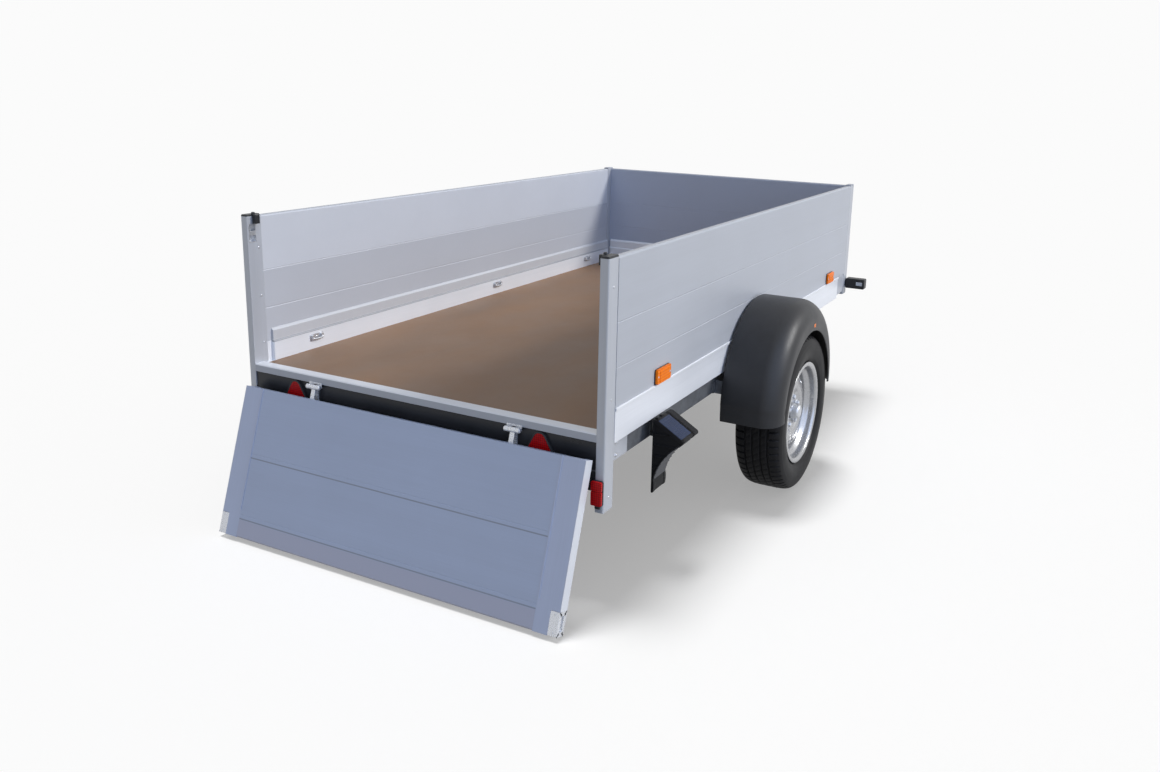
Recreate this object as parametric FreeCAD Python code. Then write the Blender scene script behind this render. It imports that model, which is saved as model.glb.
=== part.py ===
import FreeCAD, Part
import math
import os

# Single-axle box trailer, parked on its jockey wheel with the tailgate hanging open.
# X points forward to the coupling, Y to the left side, Z up. Z = 0 is the ground,
# and X = 0 is half way between the open tailgate's foot and the coupling's nose. Millimetres.

V = FreeCAD.Vector
AXIS_X = V(1, 0, 0)
AXIS_Y = V(0, 1, 0)
AXIS_Z = V(0, 0, 1)

# Body box
BODY_LENGTH = 2560.0
BODY_WIDTH = 1360.0
WALL = 25.0                     # thickness of every wall board and of the tailgate
WALL_HEIGHT = 500.0             # wall top above the floor
FLOOR_THICKNESS = 18.0
SEAM_DEPTH = 1.0                # groove where two wall boards meet
SEAM_WIDTH = 4.0
WALL_SEAM_DROPS = (185.0, 315.0)    # seams below the wall's top edge
TOP_ROUND = 5.0

# Sill extrusion at the foot of each wall
SILL_DROP = 35.0                # sill's foot below the floor's top
SILL_HEIGHT = 104.0
SILL_LIP_HEIGHT = 9.0
SILL_LIP_PROUD = 4.0
SILL_LIP_BEVEL = 2.0
SILL_SKIN = 3.0
SILL_CORNER = 110.0             # length of the corner section in front of the sill
SILL_CORNER_SET_IN = 3.0
SILL_CORNER_LIFT = 8.0
SILL_CORNER_ROUND = 6.0
SKIRT_LOW = 12.0                # inner skirt's thickness below its step
SKIRT_HIGH = 8.0                # and above it
SKIRT_RISE = 112.0              # skirt's top above the floor
SKIRT_BEVEL = 4.0
SKIRT_REAR_GAP = 22.0           # bare board between the rear post and the skirt

# Corner posts
POST_DEPTH = 58.0
POST_WALL = 4.0
POST_PROUD = 2.0                # the post stands proud of the wall inside
POST_ROUND = 5.0
REAR_POST_DROP = 228.0          # rear post's foot below the floor's top
CAP_HEIGHT = 6.0
CAP_BEVEL = 2.0
CAP_LUG = 18.0                  # lug on the rear cap, towards the load space
CAP_LUG_START = 22.0
CAP_LUG_LENGTH = 18.0
CAP_LUG_DROP = 24.0
CAP_NUB = 12.0
CAP_NUB_HEIGHT = 7.0

# Chassis
RAIL_HEIGHT = 90.0
RAIL_FLANGE = 45.0
RAIL_GAUGE = 4.0
RAIL_FRONT_GAP = 30.0
RAIL_TAPER_START = 740.0        # front wall's face to where the rail's web starts to taper
RAIL_TAPER_END = 260.0
RAIL_TIP = 17.0                 # rail's height ahead of the taper
CROSS_DEPTH = 40.0
CROSS_GAUGE = 3.0
CROSS_REAR_GAP = 420.0          # rear posts' face to the first cross-member
CROSS_FRONT_GAP = 80.0          # last cross-member to the front wall
CROSS_COUNT = 6
CROSS_CORNER = 56.0             # lower corners cut off beside the rail's taper
CROSS_END = 30.0
REAR_CROSS_DEPTH = 50.0
EDGE_RISE = 5.0                 # rear edge profile stands this far above the floor
EDGE_DROP = 20.0
EDGE_GAUGE = 4.0
EDGE_REACH = 40.0
EDGE_SKIN = 3.0
EDGE_BEVEL = 3.0

# Drawbar
DRAWBAR_REACH = 1240.0          # front wall to the coupling's nose
ARM_WIDTH = 50.0
ARM_HEIGHT = 80.0
ARM_GAUGE = 4.0
ARM_SADDLE_GAP = 24.0           # axle saddle to the arm's rear end
ARM_SET_IN = 90.0               # arm's rear end, in from the rail's web
ARM_NOSE_GAP = 470.0            # arm's front end to the coupling's nose

# Axle and running gear
AXLE_X = 1215.0                 # wheel centre, ahead of the rear posts' face
AXLE_TUBE = 80.0
AXLE_TUBE_GAUGE = 8.0
AXLE_TUBE_SET_IN = 15.0         # tube's end, in from the rail's web
SWING_REACH = 136.0             # axle tube ahead of the wheel centre
SWING_RISE = 63.4               # and above it
SWING_THICKNESS = 42.0
SWING_BIG = 42.0
SWING_SMALL = 32.0
STUB_RADIUS = 17.0
STUB_SHORT = 7.0                # stub axle's end, in from the wheel's middle
BACKPLATE_EXTRA = 4.0           # backplate's radius beyond the drum's
BACKPLATE_THICKNESS = 5.0
SADDLE_LENGTH = 150.0
SADDLE_WIDTH = 50.0
SADDLE_SET_IN = 65.0
SADDLE_CHEEK = 8.0
SADDLE_SEAT = 22.6
SADDLE_OVERLAP = 10.0           # the cheeks reach this far below the tube's middle

# Wheels: 185/65 R14 on a 5.5 x 14 steel rim
TYRE_RADIUS = 298.0
TYRE_WIDTH = 185.0
WHEEL_GAP = 34.5                # side wall to tyre
RIM_SEAT = 0.597                # bead seat's radius as a part of the tyre's
RIM_FLANGE = 16.5               # flange's height over the bead seat
RIM_WELL = 18.0                 # drop centre's depth below the bead seat
RIM_INSET = 11.5                # rim's edge, in from the tyre's side
RIM_GAUGE = 4.0
RIM_OFFSET = 30.0
RIM_DISC = 5.0
RIM_DISH = 14.0
RIM_SET_BACK = 12.0
WINDOW_COUNT = 10
WINDOW_RADIUS = 11.0
HUB_RADIUS = 66.0
HUB_PILOT = 28.0
HUB_CAP = 42.0
DRUM_GAP = 44.0                 # drop centre's inside to the brake drum
DRUM_DEPTH = 58.0
STUD_CIRCLE = 56.0
STUD_COUNT = 5
NUT_RADIUS = 10.0
NUT_HEIGHT = 14.0
RUN_GAP = 6.0                   # running clearance between turning and fixed pieces
BEAD_GAP = 0.3
PILOT_GAP = 0.6
SHAFT_GAP = 0.3
SEAT_GAP = 0.2                  # between pieces that lie on each other without a weld
WHEEL_SIDE_COUNT = 28           # sides of a revolved ring, each a multiple of four
HUB_SIDE_COUNT = 16
TUBE_SIDE_COUNT = 12
BAR_SIDE_COUNT = 8

# Mudguards
GUARD_SET_BACK = 15.0           # guard's centre behind the wheel's
GUARD_LIFT = 82.0               # and above it
GUARD_OVER_TYRE = 54.0          # guard's radius beyond the tyre's
GUARD_BODY_GAP = 10.0
GUARD_COVER = 7.5               # guard's outer face beyond the tyre's side
GUARD_SHELL = 4.0
GUARD_SHOULDER = 75.0
GUARD_LIP = 78.0                # side lip's depth at the guard's ends
GUARD_LIP_DEEPER = 34.0         # and this much more over the wheel
GUARD_INNER_LIP = 18.0
GUARD_REAR_DIP = 7.5            # degrees below the centre at the rear end
GUARD_FRONT_DIP = 5.0
GUARD_SIDE_COUNT = 24
SHOULDER_SIDE_COUNT = 3
STRAP_GAUGE = 6.0
STRAP_FLAT = 2                  # the guard's flat, counted from each end, that the strap lies under
STRAP_FOOT = 40.0

# Tailgate
GATE_SET_IN = 9.0               # closed inner face, ahead of the rear posts' face
GATE_FOOT_GAP = 6.0
GATE_SIDE_GAP = 5.0
GATE_LEAN = 18.0                # degrees from upright when it hangs open
GATE_END = 78.0                 # width of the end profiles
GATE_END_PROUD = 14.0           # end profile's outer flange stands this far beyond the boards
GATE_END_FLANGE = 20.0
GATE_SEAM_DROPS = (74.0, 274.0)
GATE_RIB = 5.0
GATE_RIB_PROUD = 1.5
GATE_RIB_SHORT = 90.0           # rib's end below the free edge
LATCH_WIDTH = 30.0
LATCH_HEIGHT = 70.0
LATCH_SLOT = 10.0
LATCH_LEVER = 12.0
KEEPER_START = 6.0              # keeper cup's rear side, ahead of the rear posts' face
KEEPER_LENGTH = 30.0
KEEPER_DROP = 86.0
KEEPER_HEIGHT = 60.0
KEEPER_GAUGE = 2.0
KEEPER_DEPTH = 16.0
KEEPER_BAR = 14.0
HINGE_SET_BACK = 13.0           # hinge axis behind the rear posts' face
HINGE_DROP = 28.0               # hinge axis below the floor's top
HINGE_IN = 297.0                # hinge's middle, in from the body's side
HINGE_WIDTH = 52.0
HINGE_BARREL = 8.0
HINGE_PIN = 4.0
HINGE_LEAF = 4.0
HINGE_LEAF_RISE = 70.0
HINGE_STEM = 16.0
HINGE_STEM_LIFT = 14.0
HINGE_PLATE = 3.0
HINGE_PLAY = 0.4
STOP_IN = 15.0                  # stop's middle, in from the tailgate's end
STOP_RADIUS = 9.0
STOP_DROP = 32.0                # stop's middle below the rail's foot

# Lamps and reflectors
CARRIER_WIDTH = 31.0
CARRIER_DROP = 60.0
LAMP_DEPTH = 14.0
LAMP_OVERLAP = 11.0             # the red lamp reaches this far past the post, inwards
LAMP_LIFT = 24.0                # lamp's foot above the post's
LAMP_HEIGHT = 74.0
LAMP_BEVEL = 4.0
REFLECTOR_IN = 210.0            # reflector's middle, in from the body's side
REFLECTOR_SIDE = 170.0
REFLECTOR_ROUND = 24.0
REFLECTOR_PROUD = 5.0
ROUND_STEP_COUNT = 4
REFLECTOR_GAP = 2.0
MARKER_LENGTH = 100.0
MARKER_HEIGHT = 48.0
MARKER_DEPTH = 12.0
MARKER_BEVEL = 4.0
MARKER_REAR = 360.0             # rear marker's middle, ahead of the rear posts' face
MARKER_FRONT = 338.0            # front marker's middle, behind the front wall's face
MARKER_RISE = 1.0
FRONT_LAMP_REACH = 96.0         # front lamp's outer end beyond the body's side
FRONT_LAMP_NECK = 3.0
FRONT_LAMP_DEPTH = 42.0
FRONT_LAMP_PROUD = 16.0         # lamp's face ahead of the front wall
FRONT_LAMP_HEIGHT = 49.0
FRONT_LAMP_LIFT = 28.0          # lamp's foot above the sill's
FRONT_LAMP_BEVEL = 3.0
FRONT_LENS = 8.0
FRONT_LENS_EDGE = 4.0

# Lashing eyes
EYE_REAR = 275.0                # rear eye, ahead of the rear posts' face
EYE_MIDDLE = 0.554              # middle eye, as a part of the body's length
EYE_FRONT = 296.0               # front eye, behind the front wall's face
EYE_RISE = 43.0
EYE_SPREAD = 24.0
EYE_LUG = 14.0
EYE_LUG_HEIGHT = 24.0
EYE_WIRE = 4.0

# Wheel chocks
CHOCK_REAR = 304.0              # chock's rear side, ahead of the rear posts' face
CHOCK_WIDTH = 120.0
CHOCK_REACH = 101.0
CHOCK_HEIGHT = 238.0
CHOCK_SLANT = 53.0              # fall of the slanted top
CHOCK_LAND = 12.0
CHOCK_TIP = 10.0
CHOCK_DROP = 2.0                # chock's top below the sill's foot
CHOCK_HOLLOW = 22.0             # depth of the arc that fits the tyre
HOLDER_WIDTH = 50.0
HOLDER_GAUGE = 4.0
HOLDER_HEIGHT = 100.0

# Overrun coupling
HOUSING_HALF = 42.0
HOUSING_REAR_GAP = 710.0        # housing's rear end to the coupling's nose
HOUSING_LENGTH = 330.0
HOUSING_BASE_SHORT = 40.0
HOUSING_LIFT = 6.0
FLANGE_RADIUS = 46.0
FLANGE_WIDTH = 10.0
SHAFT_DROP = 16.0               # shaft's middle below the arms' top
GAITER_FOLDS = 7
GAITER_PITCH = 18.0
GAITER_RADIUS = 38.0
GAITER_NECK = 30.0
GAITER_TAPER = 1.0
NECK_RADIUS = 30.0
NECK_LENGTH = 110.0
HEAD_RADIUS = 48.0
HEAD_TOP = 52.0                 # dome's top above the shaft's middle
HEAD_FOOT = 16.0
HEAD_BRIDGE = 32.0
BALL_RADIUS = 25.0
BALL_LIFT = 4.0                 # ball's centre above the shaft's middle
BALL_GAP = 0.5
GRIP_RADIUS = 9.0
GRIP_LENGTH = 140.0
GRIP_RISE = 26.0
BRAKE_PIVOT = 120.0             # handbrake's pivot ahead of the housing's rear end
BRAKE_KNEE = 150.0
BRAKE_KNEE_AHEAD = 40.0
BRAKE_LEVER = 300.0
BRAKE_LEVER_BACK = 70.0
BRAKE_PLATE = 60.0
BRAKE_ROD_RADIUS = 5.0
BRAKE_ROD_LIFT = 24.0

# Jockey wheel
JOCKEY_NOSE_GAP = 750.0         # jockey wheel's tube to the coupling's nose
JOCKEY_ARM_GAP = 14.0
JOCKEY_TUBE_RADIUS = 24.0
JOCKEY_TUBE_BORE = 20.5
JOCKEY_TUBE_LIFT = 6.0          # tube's foot above the arms' foot
JOCKEY_TUBE_RISE = 364.0        # tube's top above the arms' top
JOCKEY_TUBE_END = 8.0
JOCKEY_LEG_RADIUS = 20.2
JOCKEY_LEG_DROP = 160.0         # leg's top below the tube's
JOCKEY_PIN = 12.0
JOCKEY_PIN_LENGTH = 50.0
JOCKEY_CRANK = 100.0
JOCKEY_GRIP = 70.0
JOCKEY_WHEEL_RADIUS = 100.0
JOCKEY_WHEEL_WIDTH = 50.0
JOCKEY_WHEEL_SIDE_COUNT = 20
JOCKEY_AXLE = 8.0
JOCKEY_TRAIL = 42.0
FORK_SIDE_GAP = 5.0
FORK_GAUGE = 5.0
FORK_CROWN = 26.0
FORK_CROWN_GAP = 8.0            # wheel to crown
CLAMP_HALF = 40.0
CLAMP_EDGE = 8.0
CLAMP_RING = 9.0
CLAMP_SCREW = 31.0
CLAMP_LEVER_DROP = 60.0
CLAMP_LEVER_RISE = 10.0

# Derived places
halfWidth = BODY_WIDTH / 2
innerHalf = halfWidth - WALL
postInner = innerHalf - POST_PROUD
tubeZ = TYRE_RADIUS + SWING_RISE
railBottom = tubeZ + AXLE_TUBE / 2 + SADDLE_SEAT + SADDLE_CHEEK
floorBottom = railBottom + RAIL_HEIGHT
floorTop = floorBottom + FLOOR_THICKNESS
wallTop = floorTop + WALL_HEIGHT
sillBottom = floorTop - SILL_DROP
sillTop = sillBottom + SILL_HEIGHT
skirtTop = floorTop + SKIRT_RISE
postFoot = floorTop - REAR_POST_DROP
gateFoot = floorTop + EDGE_RISE + GATE_FOOT_GAP
gateHalf = postInner - GATE_SIDE_GAP
hingeZ = floorTop - HINGE_DROP
hingeY = halfWidth - HINGE_IN
armTop = railBottom + RAIL_GAUGE
armBottom = armTop - ARM_HEIGHT
shaftZ = armTop - SHAFT_DROP


def gateFootReach():
    """How far the open tailgate's inner top corner reaches behind the rear posts' face."""
    ahead = GATE_SET_IN + HINGE_SET_BACK
    above = wallTop - hingeZ
    lean = math.radians(GATE_LEAN)
    return HINGE_SET_BACK + ahead * math.cos(lean) + above * math.sin(lean)


rearX = (gateFootReach() - BODY_LENGTH - DRAWBAR_REACH) / 2
frontX = rearX + BODY_LENGTH
noseX = frontX + DRAWBAR_REACH
axleX = rearX + AXLE_X
hingeX = rearX - HINGE_SET_BACK
tubeX = axleX + SWING_REACH
armRearX = tubeX + SADDLE_LENGTH / 2 + ARM_SADDLE_GAP
armFrontX = noseX - ARM_NOSE_GAP
armRearY = innerHalf - ARM_SET_IN
armFrontY = HOUSING_HALF + ARM_WIDTH / 2
housingRearX = noseX - HOUSING_REAR_GAP
housingFrontX = housingRearX + HOUSING_LENGTH
ballX = noseX - HEAD_RADIUS

trackHalf = halfWidth + WHEEL_GAP + TYRE_WIDTH / 2
axleTubeHalf = innerHalf - AXLE_TUBE_SET_IN
rimHalf = TYRE_WIDTH / 2 - RIM_INSET
rimSeatRadius = RIM_SEAT * TYRE_RADIUS
rimFlangeRadius = rimSeatRadius + RIM_FLANGE
rimWellRadius = rimSeatRadius - RIM_WELL
drumRadius = rimWellRadius - RIM_GAUGE - DRUM_GAP
wheelCentre = V(axleX, 0, TYRE_RADIUS)

guardRadius = TYRE_RADIUS + GUARD_OVER_TYRE
guardInner = halfWidth + GUARD_BODY_GAP
guardOuter = trackHalf + TYRE_WIDTH / 2 + GUARD_COVER
guardCentre = V(axleX - GUARD_SET_BACK, 0, TYRE_RADIUS + GUARD_LIFT)


# Helpers

def block(x0, x1, y0, y1, z0, z1):
    return Part.makeBox(x1 - x0, y1 - y0, z1 - z0, V(x0, y0, z0))


def face(points):
    return Part.Face(Part.makePolygon(list(points) + [points[0]]))


def alongX(outline, x0, x1):
    """Extrude a (y, z) outline from x0 to x1."""
    return face([V(x0, y, z) for y, z in outline]).extrude(V(x1 - x0, 0, 0))


def alongY(outline, y0, y1):
    """Extrude an (x, z) outline from y0 to y1."""
    return face([V(x, y0, z) for x, z in outline]).extrude(V(0, y1 - y0, 0))


def alongZ(outline, z0, z1):
    """Extrude an (x, y) outline from z0 to z1."""
    return face([V(x, y, z0) for x, y in outline]).extrude(V(0, 0, z1 - z0))


def throughRings(rings, closed):
    """Solid with flat faces between matching rings of points, and end caps where it isn't closed."""
    faces = []
    for i in range(len(rings) if closed else len(rings) - 1):
        here, there = rings[i], rings[(i + 1) % len(rings)]
        for j in range(len(here)):
            k = (j + 1) % len(here)
            corners = []
            for point in (here[j], here[k], there[k], there[j]):
                if all(point.sub(other).Length > 1e-6 for other in corners):
                    corners.append(point)
            if len(corners) > 2:
                faces.append(face(corners))
    if not closed:
        faces += [face(rings[0]), face(rings[-1])]
    solid = Part.Solid(Part.Shell(faces))
    if solid.Volume < 0:
        solid.reverse()
    return solid


# For each axis: the two directions across it, and the direction along it
ABOUT_X = (AXIS_Y, AXIS_Z, AXIS_X)
ABOUT_Y = (AXIS_X, AXIS_Z, AXIS_Y)
ABOUT_Z = (AXIS_X, AXIS_Y, AXIS_Z)


def sectionAt(outline, centre, about, angle, stretch=1.0):
    """Place a (radius, along) outline at an angle about the axis line through centre."""
    first, second, along = about
    out = V(first).multiply(math.cos(angle) * stretch).add(V(second).multiply(math.sin(angle) * stretch))
    return [centre.add(V(out).multiply(r)).add(V(along).multiply(a)) for r, a in outline]


def turned(outline, centre, about, flats):
    """Revolve a (radius, along) outline into flats that touch the true circles from outside."""
    stretch = 1 / math.cos(math.pi / flats)
    angles = [2 * math.pi * (i + 0.5) / flats for i in range(flats)]
    return throughRings([sectionAt(outline, centre, about, a, stretch) for a in angles], True)


def bar(radius, path, normal, flats=BAR_SIDE_COUNT):
    """Bar of regular section along a path in one plane, mitred where it bends."""
    rings = []
    for i, point in enumerate(path):
        before = point.sub(path[i - 1]).normalize() if i > 0 else None
        after = path[i + 1].sub(point).normalize() if i < len(path) - 1 else None
        way = V(before or after).add(after or before).normalize()
        spread = 1 / way.dot(after or before)
        across = way.cross(normal).multiply(spread)
        reach = radius / math.cos(math.pi / flats)
        ring = []
        for step in range(flats):
            angle = 2 * math.pi * (step + 0.5) / flats
            aside = V(across).multiply(reach * math.cos(angle))
            ring.append(point.add(aside).add(V(normal).multiply(reach * math.sin(angle))))
        rings.append(ring)
    return throughRings(rings, False)


def rod(radius, start, end, flats=BAR_SIDE_COUNT):
    """Straight bar of regular section."""
    way = end.sub(start).normalize()
    guide = AXIS_Z if abs(way.dot(AXIS_Z)) < 0.9 else AXIS_X
    return bar(radius, [start, end], way.cross(guide).normalize(), flats)


def shaft(radius, start, end):
    """Bar that others turn on, its corners on the true circle."""
    return rod(radius * math.cos(math.pi / TUBE_SIDE_COUNT), start, end, TUBE_SIDE_COUNT)


def mirrored(shape):
    return shape.mirror(V(0, 0, 0), AXIS_Y)


def bothSides(shape):
    return Part.makeCompound([shape, mirrored(shape)])


def runsAlong(edge, axis):
    a, b = edge.Vertexes[0].Point, edge.Vertexes[-1].Point
    return a.sub(b).cross(axis).Length < 1e-6 and a.sub(b).Length > 1e-6


def liesAt(edge, axis, place):
    """True where both ends of the edge are at that place along the axis."""
    return all(abs(vertex.Point.dot(axis) - place) < 1e-6 for vertex in edge.Vertexes)


def bevelled(shape, size, chosen):
    return shape.makeChamfer(size, [edge for edge in shape.Edges if chosen(edge)])


def fused(first, *others):
    return first.fuse(list(others)).removeSplitter()


nodes = {}


def keep(name, shape):
    nodes[name] = shape


def keepPair(name, leftShape):
    keep(name + "_left", leftShape)
    keep(name + "_right", mirrored(leftShape))


# Walls and floor

def boardOutline(foot, outer, seamDrops):
    """Outline of a wall of stacked boards: eased top, a groove at each seam on both faces."""
    inner = outer - WALL
    seams = [wallTop - drop for drop in seamDrops if wallTop - drop > foot + SEAM_WIDTH]
    points = [(inner, foot), (outer, foot)]
    for z in sorted(seams):
        points += [(outer, z - SEAM_WIDTH / 2), (outer - SEAM_DEPTH, z), (outer, z + SEAM_WIDTH / 2)]
    points += [(outer, wallTop - TOP_ROUND), (outer - TOP_ROUND, wallTop)]
    points += [(inner + TOP_ROUND, wallTop), (inner, wallTop - TOP_ROUND)]
    for z in sorted(seams, reverse=True):
        points += [(inner, z + SEAM_WIDTH / 2), (inner + SEAM_DEPTH, z), (inner, z - SEAM_WIDTH / 2)]
    return points


def sideWall():
    outline = boardOutline(sillTop, halfWidth, WALL_SEAM_DROPS)
    return alongX(outline, rearX + POST_DEPTH, frontX - POST_DEPTH)


def frontWall():
    return alongY(boardOutline(sillTop, frontX, WALL_SEAM_DROPS), -postInner, postInner)


def skirtOutline(face0, foot):
    """Stepped skirt against an inner wall face, as (across, z)."""
    return [(face0, foot), (face0, skirtTop), (face0 - SKIRT_HIGH, skirtTop - SKIRT_HIGH),
            (face0 - SKIRT_HIGH, sillTop), (face0 - SKIRT_LOW, sillTop - SKIRT_BEVEL),
            (face0 - SKIRT_LOW, foot)]


def sill():
    """Closed sill section with two chambers and the lip that the wall's foot stands behind."""
    lip = halfWidth + SILL_LIP_PROUD
    outline = [(innerHalf, sillBottom), (halfWidth, sillBottom), (halfWidth, sillTop - SILL_LIP_HEIGHT),
               (lip, sillTop - SILL_LIP_HEIGHT), (lip, sillTop - SILL_LIP_BEVEL),
               (lip - SILL_LIP_BEVEL, sillTop), (innerHalf, sillTop)]
    x0, x1 = rearX + POST_DEPTH, frontX - POST_DEPTH - SILL_CORNER
    web = (sillBottom + sillTop) / 2
    y0, y1 = innerHalf + SILL_SKIN, halfWidth - SILL_SKIN
    low = block(x0, x1, y0, y1, sillBottom + SILL_SKIN, web - SILL_SKIN / 2)
    high = block(x0, x1, y0, y1, web + SILL_SKIN / 2, sillTop - SILL_SKIN)
    return alongX(outline, x0, x1).cut([low, high])


def sillCorner():
    """Plain corner section that closes the sill in front, set in a little from its face."""
    outer = halfWidth - SILL_CORNER_SET_IN
    solid = block(frontX - POST_DEPTH - SILL_CORNER, frontX - POST_DEPTH, innerHalf, outer,
                  sillBottom + SILL_CORNER_LIFT, sillTop)
    return bevelled(solid, SILL_CORNER_ROUND, lambda e: runsAlong(e, AXIS_X) and liesAt(e, AXIS_Y, outer))


def skirt():
    """Inner skirt, on a foot strip that closes the gap between the floor panel and the posts."""
    upright = alongX(skirtOutline(innerHalf, floorBottom), rearX + POST_DEPTH + SKIRT_REAR_GAP,
                     frontX - POST_DEPTH)
    foot = block(rearX + EDGE_REACH, frontX - WALL - SKIRT_LOW, innerHalf - SKIRT_LOW, postInner,
                 floorBottom, floorTop)
    return fused(upright, foot)


def frontSill():
    """Front wall's foot: hollow outer section, and the skirt inside the load space."""
    box = block(frontX - WALL, frontX, -postInner, postInner, sillBottom, sillTop)
    hollow = block(frontX - WALL + SILL_SKIN, frontX - SILL_SKIN, -postInner, postInner,
                   sillBottom + SILL_SKIN, sillTop - SILL_SKIN)
    half = innerHalf - SKIRT_LOW
    return fused(box.cut(hollow), alongY(skirtOutline(frontX - WALL, floorBottom), -half, half))


def floorPanel():
    half = innerHalf - SKIRT_LOW
    return block(rearX + EDGE_REACH, frontX - WALL - SKIRT_LOW, -half, half, floorBottom, floorTop)


def rearEdgeProfile():
    """Hollow profile that closes the floor's rear edge, with a lip down over the cross-member."""
    x0, x1, top = rearX, rearX + EDGE_REACH, floorTop + EDGE_RISE
    outline = [(x0, floorTop - EDGE_DROP), (x0 + EDGE_GAUGE, floorTop - EDGE_DROP),
               (x0 + EDGE_GAUGE, floorBottom), (x1, floorBottom), (x1, top - EDGE_BEVEL),
               (x1 - EDGE_BEVEL, top), (x0 + EDGE_BEVEL, top), (x0, top - EDGE_BEVEL)]
    hollow = block(x0 + EDGE_GAUGE, x1 - EDGE_SKIN, -postInner, postInner, floorBottom + EDGE_SKIN,
                   top - EDGE_SKIN)
    return alongY(outline, -postInner, postInner).cut(hollow)


# Posts

def postTube(x0, foot):
    """Box section with eased outer corners, open at its ends."""
    x1 = x0 + POST_DEPTH
    solid = block(x0, x1, postInner, halfWidth, foot, wallTop)
    outerCorners = [e for e in solid.Edges if runsAlong(e, AXIS_Z) and liesAt(e, AXIS_Y, halfWidth)]
    bore = block(x0 + POST_WALL, x1 - POST_WALL, postInner + POST_WALL, halfWidth - POST_WALL, foot, wallTop)
    return solid.makeFillet(POST_ROUND, outerCorners).cut(bore)


def keeperBlock(y0, less):
    """Space of the latch keeper, open towards the load space; its other sides move in by less."""
    x0, z0 = rearX + KEEPER_START, wallTop - KEEPER_DROP
    return block(x0 + less, x0 + KEEPER_LENGTH - less, y0, y0 + KEEPER_DEPTH - less, z0 + less,
                 z0 + KEEPER_HEIGHT - less)


def rearPost():
    """Rear corner post, cut out behind for the rail's web and flanges, and inside for the latch keeper."""
    notch = block(rearX + EDGE_GAUGE, rearX + POST_DEPTH, postInner, innerHalf, railBottom, floorBottom)
    return postTube(rearX, postFoot).cut([notch, keeperBlock(postInner, 0)])


def frontPost():
    notch = block(frontX - POST_DEPTH, frontX - RAIL_FRONT_GAP, postInner, innerHalf, sillBottom,
                  floorBottom)
    return postTube(frontX - POST_DEPTH, sillBottom).cut(notch)


def postCap(x0):
    top = wallTop + CAP_HEIGHT
    solid = block(x0, x0 + POST_DEPTH, postInner, halfWidth, wallTop, top)
    return bevelled(solid, CAP_BEVEL, lambda e: liesAt(e, AXIS_Z, top))


def rearPostCap():
    """Cap with a nub on top, and a lug that hangs down inside, over the latch keeper."""
    x0 = rearX + CAP_LUG_START
    lugTop = wallTop + CAP_HEIGHT - 1
    lug = block(x0, x0 + CAP_LUG_LENGTH, postInner - CAP_LUG, postInner + CAP_NUB, wallTop, lugTop)
    hung = block(x0, x0 + CAP_LUG_LENGTH, postInner - CAP_LUG, postInner, wallTop - CAP_LUG_DROP, lugTop)
    nub = block(x0, x0 + CAP_NUB, postInner - CAP_NUB / 2, postInner + CAP_NUB / 2, lugTop,
                wallTop + CAP_HEIGHT + CAP_NUB_HEIGHT)
    return fused(postCap(rearX), lug, hung, nub)


# Chassis

def channelX(outer, x0, x1, low, high, flange, gauge):
    """Channel along X, its web at y = outer and its mouth towards the middle."""
    outline = [
        (outer, low), (outer, high), (outer - flange, high), (outer - flange, high - gauge),
        (outer - gauge, high - gauge), (outer - gauge, low + gauge), (outer - flange, low + gauge),
        (outer - flange, low)]
    return alongX(outline, x0, x1)


def channelY(x0, depth, half, low, high, gauge):
    """Channel along Y, its web at x0 and its mouth towards the front."""
    outline = [
        (x0, low), (x0, high), (x0 + depth, high), (x0 + depth, high - gauge),
        (x0 + gauge, high - gauge), (x0 + gauge, low + gauge), (x0 + depth, low + gauge), (x0 + depth, low)]
    return alongY(outline, -half, half)


railTaperX = frontX - RAIL_TAPER_START


def sideRail():
    """Channel under the wall, its lower flange left off and its web tapered up towards the front."""
    x0, x1 = rearX + EDGE_GAUGE, frontX - RAIL_FRONT_GAP
    inner, tip = innerHalf - RAIL_GAUGE, floorBottom - RAIL_TIP
    channel = channelX(innerHalf, x0, railTaperX, railBottom, floorBottom, RAIL_FLANGE, RAIL_GAUGE)
    web = alongY([(railTaperX, railBottom), (frontX - RAIL_TAPER_END, tip), (x1, tip), (x1, floorBottom),
                  (railTaperX, floorBottom)], inner, innerHalf)
    flange = block(railTaperX, x1, innerHalf - RAIL_FLANGE, innerHalf, floorBottom - RAIL_GAUGE, floorBottom)
    return fused(channel, web, flange)


def crossMember(x):
    """Channel between the rails, its lower corners cut off where the rail's web is tapered."""
    low, high, end = railBottom + RAIL_GAUGE, floorBottom - RAIL_GAUGE, innerHalf - RAIL_GAUGE
    member = channelY(x, CROSS_DEPTH, end, low, high, CROSS_GAUGE)
    if x < railTaperX:
        return member
    corner = alongX([(end - CROSS_CORNER, low), (end, low), (end, high - CROSS_END)], x, x + CROSS_DEPTH)
    return member.cut([corner, mirrored(corner)])


def crossMembers():
    step = (BODY_LENGTH - CROSS_REAR_GAP - CROSS_FRONT_GAP) / (CROSS_COUNT - 1)
    return Part.makeCompound([crossMember(rearX + CROSS_REAR_GAP + i * step) for i in range(CROSS_COUNT)])


def rearCrossMember():
    low, high = railBottom + RAIL_GAUGE, floorBottom - RAIL_GAUGE
    half = innerHalf - RAIL_GAUGE
    return channelY(rearX + EDGE_GAUGE, REAR_CROSS_DEPTH, half, low, high, RAIL_GAUGE)


armSlope = (armRearY - armFrontY) / (armFrontX - armRearX)


def armLine(x):
    """The left drawbar arm's middle, as y at a place x."""
    return armRearY - armSlope * (x - armRearX)


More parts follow.
